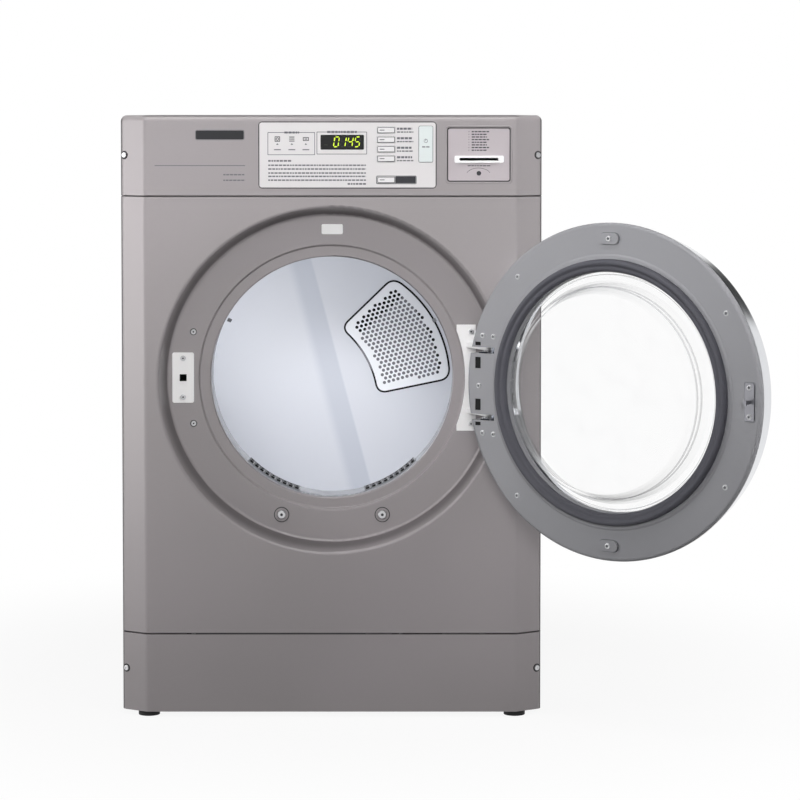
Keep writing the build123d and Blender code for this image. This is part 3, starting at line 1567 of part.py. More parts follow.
def build():
    os.makedirs("parts", exist_ok=True)
    save("base_pan", base_pan())
    save("left_side_panel", side_panel(-1))
    save("right_side_panel", side_panel(1))
    save("rear_panel", rear_panel())
    save("top_cover", top_cover())
    save("front_panel", front_panel())
    save("kick_panel", kick_panel())
    save("control_fascia", control_fascia())
    save("control_insert", control_insert())
    save("display_window", display_window())
    save("control_board", control_board())
    save("card_reader_plate", card_reader_plate())
    save("card_slot_bezel", card_slot_bezel())
    save("cabinet_screws", *cabinet_screws())
    save("strike_plate", strike_plate())
    save("hinge_bracket", hinge_bracket())
    for name, place in button_places().items():
        save(name, button(place))
    save("hinge_pins", *[swung(piece) for piece in hinge_pins()])
    save("door_liner", swung(door_liner()))
    save("door_outer_frame", swung(door_outer_frame()))
    save("door_trim_ring", swung(door_trim_ring()))
    save("door_window", swung(door_window()))
    save("door_glass", swung(door_glass()))
    save("door_gasket", swung(door_gasket()))
    save("door_latch_hook", swung(door_latch_hook()))
    save("door_handle", swung(door_handle()))
    save("door_screws", *[swung(piece) for piece in door_screws()])
    save("front_tub", front_tub())
    save("lint_filter", lint_filter())
    save("drum", drum())
    save("drum_lifters", *[lifter(angle) for angle in lifter_angles])
    save("drum_seals", *drum_seals())
    for name, (x, z) in zip(roller_names, roller_places()):
        save(f"front_{name}", roller(x, z, front_roller_y))
        save(f"rear_{name}", roller(x, z, rear_roller_y))
    save("roller_shafts", *roller_shafts())
    save("drum_belt", drum_belt())
    save("motor", motor(), motor_cradle(), idler_stand())
    save("rotor_shaft", rotor_shaft())
    save("blower_wheel", blower_wheel())
    save("blower_housing", blower_housing())
    save("exhaust_duct", exhaust_duct())
    save("idler_arm", idler_arm())
    save("idler_pulley", idler_pulley())
    save("burner_tube", burner_tube())
    save("gas_valve", gas_valve())
    save("gas_pipe", gas_pipe())
    save("heat_duct", heat_duct())
    save("rear_tub", rear_tub())
    save("inlet_grille", inlet_grille())
    for name, (x, y) in foot_places.items():
        save(name, foot(x, y))


build()
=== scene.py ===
import math

import bmesh
import bpy
from mathutils import Matrix, Vector


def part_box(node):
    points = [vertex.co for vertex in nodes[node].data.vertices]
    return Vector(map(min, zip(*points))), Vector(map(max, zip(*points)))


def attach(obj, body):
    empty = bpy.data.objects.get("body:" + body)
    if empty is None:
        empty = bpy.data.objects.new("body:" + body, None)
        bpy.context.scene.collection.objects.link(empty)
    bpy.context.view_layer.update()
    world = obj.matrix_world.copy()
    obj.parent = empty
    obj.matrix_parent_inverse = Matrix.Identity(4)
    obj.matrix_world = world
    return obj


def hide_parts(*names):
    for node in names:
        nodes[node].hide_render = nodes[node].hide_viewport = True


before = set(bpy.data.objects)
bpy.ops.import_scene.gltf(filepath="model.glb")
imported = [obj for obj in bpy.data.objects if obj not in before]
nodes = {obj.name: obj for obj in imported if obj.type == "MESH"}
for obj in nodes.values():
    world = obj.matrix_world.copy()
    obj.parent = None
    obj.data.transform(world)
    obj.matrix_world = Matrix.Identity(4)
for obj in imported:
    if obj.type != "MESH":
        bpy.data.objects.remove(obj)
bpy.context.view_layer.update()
scene = bpy.context.scene

# Places that several pieces share, in metres
place = {"front": -0.351, "insertFace": -0.352, "cardFace": -0.3495, "recessFloor": -0.299,
         "axis": 0.552, "liner": -0.305, "hinge": (0.255, -0.352), "doorTurn": 145.0}


def doorMatrix():
    # pieces of the door are drawn with it shut, and this turns them open with it
    x, y = place["hinge"]
    there = Matrix.Translation((x, y, 0.0))
    return there @ Matrix.Rotation(math.radians(place["doorTurn"]), 4, "Z") @ there.inverted()


def tone(colour, shift=0):
    # a screen colour, 0 to 255, as the numbers a shader takes; shift makes it lighter or darker
    def level(value):
        value = min(max(value + shift, 0), 255) / 255
        return value / 12.92 if value < 0.04045 else ((value + 0.055) / 1.055) ** 2.4
    return (*(level(value) for value in colour), 1.0)


class Wire:
    def __init__(self, shade, socket):
        self.shade = shade
        self.socket = socket

    def maths(self, kind, other=None, swapped=False):
        pair = (other, self) if swapped else (self, other)
        values = {index: value for index, value in enumerate(pair) if value is not None}
        return self.shade.node("ShaderNodeMath", {"operation": kind}, values)

    def __add__(self, other):
        return self.maths("ADD", other)

    def __sub__(self, other):
        return self.maths("SUBTRACT", other)

    def __rsub__(self, other):
        return self.maths("SUBTRACT", other, True)

    def __mul__(self, other):
        return self.maths("MULTIPLY", other)

    def __pow__(self, other):
        return self.maths("POWER", other)

    def __gt__(self, other):
        return self.maths("GREATER_THAN", other)

    def __lt__(self, other):
        return self.maths("LESS_THAN", other)

    def most(self, other):
        return self.maths("MAXIMUM", other)

    __radd__ = __add__
    __rmul__ = __mul__


class Shade:
    def __init__(self, name, owner=None):
        # a material's nodes, or those of the owner that is given, such as a world
        self.material = owner or bpy.data.materials.new(name)
        self.material.use_nodes = True
        self.tree = self.material.node_tree
        self.tree.nodes.clear()
        self.spot = self.node("ShaderNodeTexCoord", output="Generated" if owner else "Object")

    def node(self, kind, settings=None, values=None, output=0):
        made = self.tree.nodes.new(kind)
        for key, value in (settings or {}).items():
            setattr(made, key, value)
        for key, value in (values or {}).items():
            if isinstance(value, Wire):
                self.tree.links.new(value.socket, made.inputs[key])
            else:
                made.inputs[key].default_value = value
        return Wire(self, made.outputs[output]) if len(made.outputs) else None

    def grain(self, scale, detail=2.0, roughness=0.5, stretch=None):
        # noise with its middle near 0.5; stretch squeezes it along an axis
        at = self.spot
        if stretch:
            at = self.node("ShaderNodeMapping", None, {"Vector": at, "Scale": stretch})
        return self.node("ShaderNodeTexNoise", None, {
            "Vector": at, "Scale": scale, "Detail": detail, "Roughness": roughness})

    def axis(self, name):
        return self.node("ShaderNodeSeparateXYZ", None, {"Vector": self.spot}, output=name)

    def ramp(self, value, low, high, start=0.0, end=1.0):
        return self.node("ShaderNodeMapRange", {"interpolation_type": "SMOOTHSTEP"}, {
            "Value": value, "From Min": low, "From Max": high, "To Min": start, "To Max": end})

    def mixed(self, factor, first, second):
        return self.node("ShaderNodeMix", {"data_type": "RGBA"}, {
            "Factor": factor, 6: first, 7: second}, output=2)

    def band(self, value, start, full, fading, clear, level=1.0):
        # rises from start to full, and falls again from fading to clear
        return self.ramp(value, start, full) * self.ramp(value, fading, clear, level, 0.0)

    def tinted(self, factor, colour, first, second):
        # one colour, shifted by first where the factor is 0 and by second where it is 1
        return self.mixed(factor, tone(colour, first), tone(colour, second))

    def relief(self, height, strength, distance):
        return self.node("ShaderNodeBump", None, {
            "Height": height, "Strength": strength, "Distance": distance})

    def fromAxis(self, across):
        # how far a point lies from the drum's axis, with its sideways distance given
        return (across ** 2.0 + (self.axis("Z") - place["axis"]) ** 2.0) ** 0.5

    def ray(self, kind):
        return self.node("ShaderNodeLightPath", output="Is %s Ray" % kind)

    def done(self, surface):
        self.node("ShaderNodeOutputMaterial", None, {"Surface": surface})
        return self.material

    def coat(self, sockets):
        return self.done(self.node("ShaderNodeBsdfPrincipled", None, sockets))


# Materials

paint = {
    "cabinet": {"colour": (152, 147, 148), "lighter": (160, 154, 156), "flake": 0.035, "gloss": 0.36},
    "motor": {"colour": (62, 64, 68), "lighter": (72, 74, 78), "flake": 0.02, "gloss": 0.45},
    "fleck": (226, 224, 222),
    "metal": 0.15,
}
# painted shade on the wall of the door's recess, and the darker colour that all painted shade mixes in
paintedShade = {"reach": (0.285, 0.288), "wall": (-0.3505, -0.3170, -0.3050, -0.2995), "shade": 0.62,
          "colour": (66, 62, 64)}  # the colour is the seams' too
# where shade is painted along the front's seams, the bends of its corners and its top edge
frontShadeLines = {
    "heights": (0.8520, 0.1375), "reach": (0.0010, 0.0020), "shade": 0.8,
    "side": (0.3400, 0.3413), "sideBack": -0.3222, "sideShade": 0.95,
    "top": (0.9806, 0.9818), "topBack": -0.3430, "topShade": 0.8,
}


def seamPaintedShade(shade):
    # painted shade: dark lines where the front's sheets meet, along the bends of their corners and along the
    # top edge
    x, y, z = (shade.axis(name) for name in "XYZ")
    upper, lower = (shade.ramp((z - height).maths("ABSOLUTE"), *frontShadeLines["reach"], frontShadeLines["shade"], 0.0)
                    for height in frontShadeLines["heights"])
    bends = shade.ramp(x.maths("ABSOLUTE"), *frontShadeLines["side"], 0.0, frontShadeLines["sideShade"])
    brow = shade.ramp(z, *frontShadeLines["top"], 0.0, frontShadeLines["topShade"]) * (y < frontShadeLines["topBack"])
    return (upper.most(lower).most(bends) * (y < frontShadeLines["sideBack"])).most(brow)


def recessPaintedShade(shade):
    # painted shade: the darker ring on the wall of the door's recess
    near = shade.ramp(shade.fromAxis(shade.axis("X")), *paintedShade["reach"], 1.0, 0.0)
    return near * shade.band(shade.axis("Y"), *paintedShade["wall"], paintedShade["shade"])


def paintedSheet(name, kind, shades=()):
    # paint with a fine flake, a faint cloudiness and a little orange peel
    mix = paint[kind]
    shade = Shade(name)
    cloud = shade.grain(2.2)
    fleck = shade.grain(2600, 1.0)
    base = shade.mixed(shade.ramp(cloud, 0.3, 0.7), tone(mix["colour"]), tone(mix["lighter"]))
    base = shade.mixed((fleck > 0.62) * mix["flake"], base, tone(paint["fleck"]))
    # each of shades paints shade into the colour
    for part in shades:
        base = shade.mixed(part(shade), base, tone(paintedShade["colour"]))
    return shade.coat({
        "Base Color": base, "Metallic": paint["metal"], "Roughness": mix["gloss"] + (cloud - 0.5) * 0.08,
        "Specular IOR Level": 0.42, "Normal": shade.relief(shade.grain(420), 0.04, 0.0004)})


def zincSheet(name, colour=(168, 170, 172), rough=0.42):
    # zinc-coated steel with its large crystals
    shade = Shade(name)
    crystal = shade.node("ShaderNodeTexVoronoi", None, {"Vector": shade.spot, "Scale": 95.0}, output="Color")
    flat = shade.node("ShaderNodeRGBToBW", None, {"Color": crystal})
    scuff = shade.grain(14, 4.0)
    return shade.coat({
        "Base Color": shade.tinted(shade.ramp(flat, 0.15, 0.85), colour, -16, 0), "Metallic": 0.75,
        "Roughness": rough + (scuff - 0.5) * 0.2 + (flat - 0.5) * 0.1,
        "Normal": shade.relief(flat, 0.05, 0.0005)})


def enamel(name, colour, rough=0.24):
    # baked enamel: smooth, with a slight waviness
    shade = Shade(name)
    wave = shade.grain(5.0)
    return shade.coat({
        "Base Color": shade.tinted(shade.ramp(wave, 0.25, 0.75), colour, -5, 0),
        "Roughness": rough + (wave - 0.5) * 0.06, "Normal": shade.relief(shade.grain(300), 0.03, 0.0003)})


# band is a darker colour painted along the crease as shade; bright is the wall's own colour
backWall = {
    "bright": (216, 218, 224), "band": (196, 200, 209), "shadeShare": 0.9, "wave": (210, 213, 220),
    "line": ((-0.049, 0.696), (0.055, 0.303)), "creaseAndShade": (-0.050, -0.028, -0.002, 0.003),
}


def backEnamel():
    # the still rear wall, pressed with one long shallow crease that runs down to the right, with painted
    # shade as a darker band along it
    shade = Shade("backWallEnamel")
    (x0, z0), (x1, z1) = backWall["line"]
    length = math.hypot(x1 - x0, z1 - z0)
    across = (shade.axis("X") - x0) * ((z0 - z1) / length) + (shade.axis("Z") - z0) * ((x1 - x0) / length)
    creaseAndShade = shade.band(across, *backWall["creaseAndShade"])
    wave = shade.grain(4.0)
    # painted shade: the darker band along the crease
    base = shade.mixed(creaseAndShade * backWall["shadeShare"], tone(backWall["bright"]), tone(backWall["band"]))
    base = shade.mixed(shade.ramp(wave, 0.3, 0.8) * 0.25, base, tone(backWall["wave"]))
    return shade.coat({
        "Base Color": base, "Roughness": 0.26 + (wave - 0.5) * 0.05,
        "Normal": shade.relief(creaseAndShade, 0.12, 0.003)})


def moulded(name, colour, rough=0.42, texture=900, depth=0.12, spread=5):
    # moulded plastic with its fine spark-eroded grain
    shade = Shade(name)
    cloud = shade.grain(6.0)
    pores = shade.grain(texture)
    return shade.coat({
        "Base Color": shade.tinted(shade.ramp(cloud, 0.3, 0.7), colour, -spread, 0),
        "Roughness": rough + (pores - 0.5) * 0.12, "Specular IOR Level": 0.4,
        "Normal": shade.relief(pores, depth, 0.0004)})


def plated(name, colour, rough, brushed=0.0):
    # plated or polished metal; brushed adds fine lines along Y
    shade = Shade(name)
    haze = shade.grain(40, 3.0)
    brush = shade.grain(60, 3.0, stretch=(18.0, 0.6, 18.0))
    return shade.coat({
        "Base Color": shade.tinted(haze * 0.35, colour, 0, -18), "Metallic": 1.0,
        "Roughness": rough + (haze - 0.5) * 0.06 + (brush - 0.5) * brushed,
        "Normal": shade.relief(brush, 0.03 + brushed * 0.4, 0.0003)})


def rubber(name, colour, rough=0.62):
    # rubber with a dull bloom in places
    shade = Shade(name)
    bloom = shade.grain(9.0, 4.0)
    return shade.coat({
        "Base Color": shade.tinted(shade.ramp(bloom, 0.35, 0.75), colour, 0, 8),
        "Roughness": rough + (bloom - 0.5) * 0.14, "Specular IOR Level": 0.35,
        "Normal": shade.relief(shade.grain(1400), 0.15, 0.0003)})


def woolFelt(name, colour):
    # felt with its fibres drawn along one way
    shade = Shade(name)
    fibre = shade.grain(800, 6.0, 0.7, stretch=(1.0, 3.0, 1.0))
    return shade.coat({
        "Base Color": shade.tinted(fibre, colour, -30, 0), "Roughness": 0.92, "Specular IOR Level": 0.2,
        "Normal": shade.relief(fibre, 0.6, 0.0008)})


paintedBowlRings = {"rings": ((0.1655, 0.36), (0.1838, 0.35)), "reach": (0.0003, 0.0010)}  # radius and strength


def paintedFoldRings(shade):
    # painted reflection: thin grey rings where the glass bowl bends, round the axis of the door as it stands
    # open
    x, y = place["hinge"]
    turn = math.radians(place["doorTurn"])
    along = (shade.axis("X") - x) * math.cos(turn) + (shade.axis("Y") - y) * math.sin(turn) + x
    across = shade.fromAxis(along)
    inner, outer = (shade.ramp((across - radius).maths("ABSOLUTE"), *paintedBowlRings["reach"], share, 0.0)
                    for radius, share in paintedBowlRings["rings"])
    return inner + outer


def clearGlass(name, colour, edge, rough=0.03, withPaintedRings=False):
    # clear glass, a little dusty, that greys where it is seen edge on
    shade = Shade(name)
    dust = shade.grain(30, 4.0)
    facing = shade.node("ShaderNodeLayerWeight", None, {"Blend": 0.4}, output="Facing")
    veil = (facing ** 4.0) * edge + (facing ** 2.0) * 0.1 + shade.ramp(dust, 0.5, 0.9, 0.012, 0.03)
    # painted reflection on the bowl: grey rings at its bends
    if withPaintedRings:
        veil = veil + paintedFoldRings(shade)
    return shade.coat({
        "Base Color": shade.tinted(shade.ramp(dust, 0.3, 0.8), colour, 0, -6), "IOR": 1.46, "Alpha": veil,
        "Roughness": rough + shade.ramp(dust, 0.5, 0.9) * 0.03})


def screened(name, colour, threads=4200.0):
    # a woven lint screen: two sets of threads as relief and colour
    shade = Shade(name)
    across, down = ((shade.axis(axis) * threads).maths("SINE") for axis in "XZ")
    weave = across.most(down)
    return shade.coat({
        "Base Color": shade.tinted(shade.ramp(weave, -0.2, 0.9), colour, -70, 0), "Roughness": 0.6,
        "Normal": shade.relief(weave, 0.3, 0.0004)})


def printed(name, colour, rough=0.5):
    # silk-screened ink, a little uneven
    shade = Shade(name)
    speck = shade.ramp(shade.grain(2400), 0.35, 0.75)
    return shade.coat({
        "Base Color": shade.tinted(speck, colour, 0, 14), "Roughness": rough, "Specular IOR Level": 0.3})


def lit(name, colour, strength):
    # a lit segment behind its dark window
    shade = Shade(name)
    speck = shade.ramp(shade.grain(3000, 1.0), 0.3, 0.8)
    glow = shade.mixed(speck, tone(colour), tone([value * 0.82 for value in colour]))
    return shade.coat({
        "Base Color": glow, "Roughness": 0.4, "Emission Color": glow, "Emission Strength": strength})


finish = {
    "cabinet": paintedSheet("silverPaint", "cabinet"),
    # the cabinet's paint with painted shade along its seams and edges
    "front": paintedSheet("frontPaintAndShade", "cabinet", [seamPaintedShade]),
    "hollowed": paintedSheet("recessPaintAndShade", "cabinet", [seamPaintedShade, recessPaintedShade]),
    "zinc": zincSheet("zincSheet"),
    "duct": zincSheet("ductSheet", (180, 182, 184), 0.34),
    "enamel": enamel("drumEnamel", (220, 222, 228)),
    "tub": enamel("tubEnamel", (186, 187, 190)),
    "backWall": backEnamel(),
    "grille": enamel("grilleEnamel", (246, 247, 250), 0.3),
    "whitePlate": enamel("plateEnamel", (251, 250, 250), 0.32),
    "lifter": moulded("lifterPlastic", (228, 231, 236), 0.34),
    "liner": moulded("linerPlastic", (152, 152, 156), 0.46, 700, 0.1),
    "insert": moulded("insertPlastic", (222, 219, 220), 0.36, 1300, 0.05, 3),
    "card": moulded("cardPlatePlastic", (191, 183, 187), 0.4, 1200, 0.08),
    "bezel": moulded("bezelPlastic", (252, 252, 253), 0.3, 1500, 0.04, 2),
    "button": moulded("buttonPlastic", (230, 228, 229), 0.34, 1500, 0.05, 3),
    "startButton": moulded("startPlastic", (222, 229, 229), 0.3, 1500, 0.05, 3),
    # the handle's own grey, also on the screws' faces, and painted shade round the door's plates
    "cupAndShade": moulded("cupPlasticAndShade", (112, 114, 118), 0.44),
    "fan": moulded("fanPlastic", (98, 100, 104), 0.5),
    "board": moulded("boardLacquer", (44, 96, 66), 0.35, 400, 0.2, 10),
    "rim": plated("rimPlating", (214, 216, 220), 0.09),
    "screw": plated("screwPlating", (206, 206, 208), 0.3, 0.05),
    "latch": plated("latchPlating", (138, 138, 143), 0.34, 0.05),
    "servicePlate": enamel("serviceEnamel", (253, 252, 252), 0.3),
    "outletGrid": zincSheet("outletSteel", (160, 161, 164), 0.5),
    "shaft": plated("shaftSteel", (190, 191, 194), 0.26, 0.1),
    "motor": paintedSheet("motorPaint", "motor"),
    "valve": zincSheet("valveAlloy", (158, 160, 158), 0.5),
    "pipe": zincSheet("pipeSteel", (74, 75, 78), 0.5),
    "gasket": rubber("gasketRubber", (82, 82, 89)),
    "tyre": rubber("rollerRubber", (34, 34, 36)),
    "foot": rubber("footRubber", (26, 26, 27)),
    "felt": woolFelt("sealFelt", (176, 170, 158)),
    "screen": screened("lintScreen", (196, 199, 204)),
    "glass": clearGlass("bowlGlass", (170, 172, 177), 0.95, withPaintedRings=True),
    "window": clearGlass("windowPlastic", (206, 208, 211), 0.45),
    "display": moulded("displayBlack", (16, 18, 17), 0.12, 200, 0.0, 4),
    "ink": printed("greyInk", (102, 102, 108)),
    "darkInk": printed("darkInk", (50, 50, 54)),
    "digits": lit("litSegments", (206, 232, 52), 0.9),
    # painted shade: dark lines in joints and round screws
    "groove": printed("paintedShadowLine", (58, 56, 58), 0.7),
    # the name plate's own black, also used as painted shade on screws
    "plaqueAndShade": moulded("plaquePlasticAndShade", (44, 44, 47), 0.35, 900, 0.05),
    "unlit": printed("unlitSegments", (34, 37, 30), 0.4),
    # painted shade: black for slots, pockets, gaps and openings
    "shadeBlack": moulded("paintedShadeBlack", (12, 12, 13), 0.8),
    "baffle": enamel("baffleSheet", (118, 118, 124), 0.5),
}

wears = {
    "cabinet": "left_side_panel right_side_panel top_cover",
    "front": "kick_panel control_fascia",
    "hollowed": "front_panel",
    "zinc": "base_pan rear_panel heat_duct idler_arm",
    "duct": "exhaust_duct burner_tube",
    "enamel": "drum",
    "tub": "front_tub",
    "backWall": "rear_tub",
    "grille": "inlet_grille",
    "whitePlate": "strike_plate hinge_bracket",
    "lifter": "drum_lifters",
    "liner": "door_liner",
    "insert": "control_insert",
    "card": "card_reader_plate",
    "bezel": "card_slot_bezel",
    "button": "program_button_1 program_button_2 program_button_3 program_button_4 pause_button",
    "startButton": "start_button",
    "cupAndShade": "door_handle",
    "fan": "blower_wheel blower_housing idler_pulley",
    "board": "control_board",
    "rim": "door_outer_frame door_trim_ring",
    "screw": "cabinet_screws door_screws",
    "latch": "door_latch_hook",
    "shaft": "hinge_pins roller_shafts rotor_shaft",
    "motor": "motor",
    "valve": "gas_valve",
    "pipe": "gas_pipe",
    "gasket": "door_gasket",
    "tyre": "front_left_roller front_right_roller rear_left_roller rear_right_roller drum_belt",
    "foot": "front_left_foot front_right_foot rear_left_foot rear_right_foot",
    "felt": "drum_seals",
    "screen": "lint_filter",
    "glass": "door_glass",
    "window": "door_window",
    "display": "display_window",
}

for look, names in wears.items():
    for name in names.split():
        mesh = nodes[name].data
        mesh.materials.clear()
        mesh.materials.append(finish[look])
print("finishes set on", sum(len(names.split()) for names in wears.values()), "of", len(nodes), "nodes")


# Pieces that the frame doesn't hold: prints, plates and finer forms

inkRise = 0.00012
dash = {"short": 0.0022, "spread": 0.0034, "gap": 0.0011, "stir": 12.9898}


def linked(name, data):
    made = bpy.data.objects.new(name, data)
    scene.collection.objects.link(made)
    return made


def piece(name, look, body="cabinet"):
    # an empty mesh with its finish, and the work mesh that fills it
    mesh = bpy.data.meshes.new(name)
    mesh.materials.append(finish[look])
    made = linked(name, mesh)
    made["rides"] = body
    return made, bmesh.new()


def settle(made, work, smooth=False, replaced=()):
    # the work mesh goes into the piece, which then rides its body
    if made["rides"] == "door":
        work.transform(doorMatrix())
    bmesh.ops.recalc_face_normals(work, faces=work.faces)
    for face in work.faces:
        face.smooth = smooth
    work.to_mesh(made.data)
    work.free()
    if replaced:
        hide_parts(*replaced)
    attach(made, made["rides"])
    del made["rides"]


def bridge(work, loops, closed=True):
    # quads between loops of as many points each
    count = len(loops[0])
    for here, there in zip(loops, loops[1:]):
        for index in range(count if closed else count - 1):
            other = (index + 1) % count
            work.faces.new((here[index], here[other], there[other], there[index]))


def addLoop(work, outline, y):
    return [work.verts.new((x, y, z)) for x, z in outline]


def addPrism(work, outline, face, rise):
    # a flat shape on a front face, rise proud of it; outline is (x, z) points
    low, high = addLoop(work, outline, face), addLoop(work, outline, face - rise)
    work.faces.new(high)
    work.faces.new(low[::-1])
    bridge(work, (low, high))


def addBand(work, outer, inner, face, rise):
    # the same between two outlines with as many points each
    loops = [addLoop(work, outline, face - up)
             for outline, up in ((outer, 0.0), (outer, rise), (inner, rise), (inner, 0.0))]
    bridge(work, loops + loops[:1])


def rounded(x0, x1, z0, z1, radius=0.0, steps=5):
    if radius <= 0:
        return [(x0, z0), (x1, z0), (x1, z1), (x0, z1)]
    corners = ((x1 - radius, z0 + radius, 270), (x1 - radius, z1 - radius, 0),
               (x0 + radius, z1 - radius, 90), (x0 + radius, z0 + radius, 180))
    points = []
    for x, z, start in corners:
        for step in range(steps + 1):
            angle = math.radians(start + 90 * step / steps)
            points.append((x + radius * math.cos(angle), z + radius * math.sin(angle)))
    return points


def circle(x, z, radius, steps=24):
    turns = [2 * math.pi * step / steps for step in range(steps)]
    return [(x + radius * math.cos(turn), z + radius * math.sin(turn)) for turn in turns]


def grown(box, by):
    x0, x1, z0, z1 = box
    return (x0 - by, x1 + by, z0 - by, z1 + by)


def around(x, z, wide, tall):
    return (x - wide, x + wide, z - tall, z + tall)


def addPlate(work, box, face, rise=inkRise, corner=0.0):
    addPrism(work, rounded(*box, corner), face, rise)


def addFrame(work, box, outer, inner, face, rise=inkRise):
    # a band round a box; outer and inner give each edge's distance outside it and its corners' radius
    outlines = [rounded(*grown(box, distance), corner) for distance, corner in (outer, inner)]
    addBand(work, *outlines, face, rise)


def addRing(work, x, z, outer, inner, face, rise=inkRise):
    addBand(work, circle(x, z, outer), circle(x, z, inner), face, rise)


def addWords(work, span, low, height, face, seed=0, rise=inkRise):
    # a line of small print as blank dashes, with no letters in it
    x, end = span
    while x < end:
        seed += 1
        length = dash["short"] + dash["spread"] * abs(math.sin(dash["stir"] * seed))
        addPlate(work, (x, min(x + length, end), low, low + height), face, rise)
        x += length + dash["gap"]


fascia = {
    "plate": (-0.2187, -0.1411, 0.9441, 0.9583), "plateRound": 0.0022, "plateRise": 0.0004,
    "plateFrame": ((0.0011, 0.0033), (0.0004, 0.0026)),
    "rule": (-0.2855, -0.1390, 0.9010, 0.9022),
    "notes": ((0.8859, 0), (0.8769, 7)), "noteSpan": (-0.1743, -0.1392), "noteHeight": 0.0020,
    "insertEdge": (-0.1158, 0.1696, 0.8661, 0.9714), "insertFrame": ((0.0016, 0.0062), (0.0, 0.0046)),
    "insertRise": 0.0005,
    "cardEdge": (0.1884, 0.2909, 0.8757, 0.9632), "cardFrame": ((0.0002, 0.0042), (-0.0016, 0.003)),
    "cardRise": 0.0004, "cardRound": 0.0042,
    "bevel": ((0.0036, 0.0), (0.0032, 0.0007), (0.0024, 0.0009), (0.0004, -0.0011), (0.0001, -0.0014)),
}


def makeFasciaPrints():
    face = place["front"]
    made, work = piece("fascia_name_plate", "plaqueAndShade")
    addPlate(work, fascia["plate"], face, fascia["plateRise"], fascia["plateRound"])
    settle(made, work)
    made, work = piece("fascia_print", "ink")
    addFrame(work, fascia["plate"], *fascia["plateFrame"], face)
    addPlate(work, fascia["rule"], face)
    for low, seed in fascia["notes"]:
        addWords(work, fascia["noteSpan"], low, fascia["noteHeight"], face, seed)
    settle(made, work)
    # painted shade: dark frames round the insert and the card plate
    made, work = piece("fascia_shade_lines", "groove")
    addFrame(work, fascia["insertEdge"], *fascia["insertFrame"], face, fascia["insertRise"])
    addFrame(work, fascia["cardEdge"], *fascia["cardFrame"], place["cardFace"], fascia["cardRise"])
    settle(made, work)
    made, work = piece("card_plate_bevel", "cabinet")
    cardBox, corner = fascia["cardEdge"], fascia["cardRound"]
    bridge(work, [addLoop(work, rounded(*grown(cardBox, out), corner + out, steps=8), face - up)
                  for out, up in fascia["bevel"]])
    settle(made, work, True)


panel = {
    "boxes": (((-0.1020, -0.0262, 0.9192, 0.9552), (-0.0752, -0.0514), 0.9536, 0.0032),
              ((-0.0226, 0.0580, 0.9203, 0.9560), (-0.0060, 0.0420), 0.9544, 0.0034)),
    "boxFrame": ((0.0005, 0.001), (-0.0005, 0.001)),
    "titleSeed": 3,
    "lines": (0.9022, 0.8961, 0.8896, 0.8842, 0.8781), "lineSpan": (-0.1015, 0.0567), "lineHeight": 0.0023,
    "lineSeed": 11,
    "heads": (((-0.1015, -0.0632), 0.9091), ((0.0270, 0.0567), 0.8718)), "headSeed": 5, "headShare": 1.2,
    "icons": (-0.0866, -0.0632, -0.0405), "iconHeight": 0.9446, "iconLine": 0.0011, "iconBar": 0.0007,
    "drum": (0.0043, 0.0043), "drumRound": (0.0008, 0.0005), "drumRing": 0.00258,
    "air": 0.0043, "airPitch": 0.003225,
    "rack": (0.00473, 0.00301), "rackRound": (0.0005, 0.0003), "rackBar": 0.00215,
    "mark": (0.9352, 0.9381, 0.0021), "bar": (0.9274, 0.0055, 0.0008),
    "buttons": (0.95905, 0.94365, 0.92825, 0.91285, 0.87855),  # heights, the pause key's last
    "buttonMiddle": 0.0894, "buttonHalf": (0.01405, 0.0048),
    "buttonFrame": ((0.0, 0.0014), (-0.0009, 0.0008)),
    "dash": (0.0790, 0.0868), "dashHalf": 0.0006,
    "labels": (((0.1070, 0.1315), 0.0006, 0.0034, 0), ((0.1070, 0.1335), -0.0042, 0.0021, 4)),
    "patch": (0.1044, 0.1374, 0.8731, 0.8842), "patchRound": 0.0008,
    "patchBox": (0.0742, 0.1378, 0.8727, 0.8844), "patchFrame": ((0.0009, 0.0021), (0.0, 0.0012)),
    "start": (0.1426, 0.1647, 0.9074, 0.9652), "startFrame": ((0.0008, 0.0026), (0.0, 0.0018)),
    "startRing": (0.9416, 0.0032, 0.0025), "startBar": (0.9431, 0.0004, 0.0021),
    "startWords": (0.006, 0.9310, 0.0018, 2),
}


def makePanelPrints():
    # the boxes' titles and the lines of small print, and a mark and a bar below each drying sign
    face = place["insertFace"]
    made, work = piece("panel_print", "ink")
    for box, span, low, height in panel["boxes"]:
        addFrame(work, box, *panel["boxFrame"], face)
        addWords(work, span, low, height, face, panel["titleSeed"], inkRise * 2)
    height = panel["lineHeight"]
    for row, z in enumerate(panel["lines"]):
        addWords(work, panel["lineSpan"], z - height / 2, height, face, row * panel["lineSeed"])
    for span, z in panel["heads"]:
        addWords(work, span, z - height / 2, height * panel["headShare"], face, panel["headSeed"])
    low, high, half = panel["mark"]
    z, wide, tall = panel["bar"]
    for x in panel["icons"]:
        addPrism(work, ((x - half, low), (x + half, low), (x, high)), face, inkRise)
        addPlate(work, around(x, z, wide, tall), face)
    settle(made, work)


def makeIcons():
    # plain drying signs: a drum in its box, warm air, and a rack
    face, z = place["insertFace"], panel["iconHeight"]
    line, bar = panel["iconLine"], panel["iconBar"]
    drum, air, rack = panel["icons"]
    made, work = piece("panel_icons", "darkInk")
    for x, sign in ((drum, "drum"), (rack, "rack")):
        outer, inner = panel[sign + "Round"]
        addFrame(work, around(x, z, *panel[sign]), (0.0, outer), (-line, inner), face)
    addRing(work, drum, z, panel["drumRing"], panel["drumRing"] - line, face)
    for step in (-1, 0, 1):
        addPlate(work, around(air, z + step * panel["airPitch"], panel["air"], bar), face)
    addPlate(work, around(rack, z, panel["rackBar"], bar), face)
    settle(made, work)


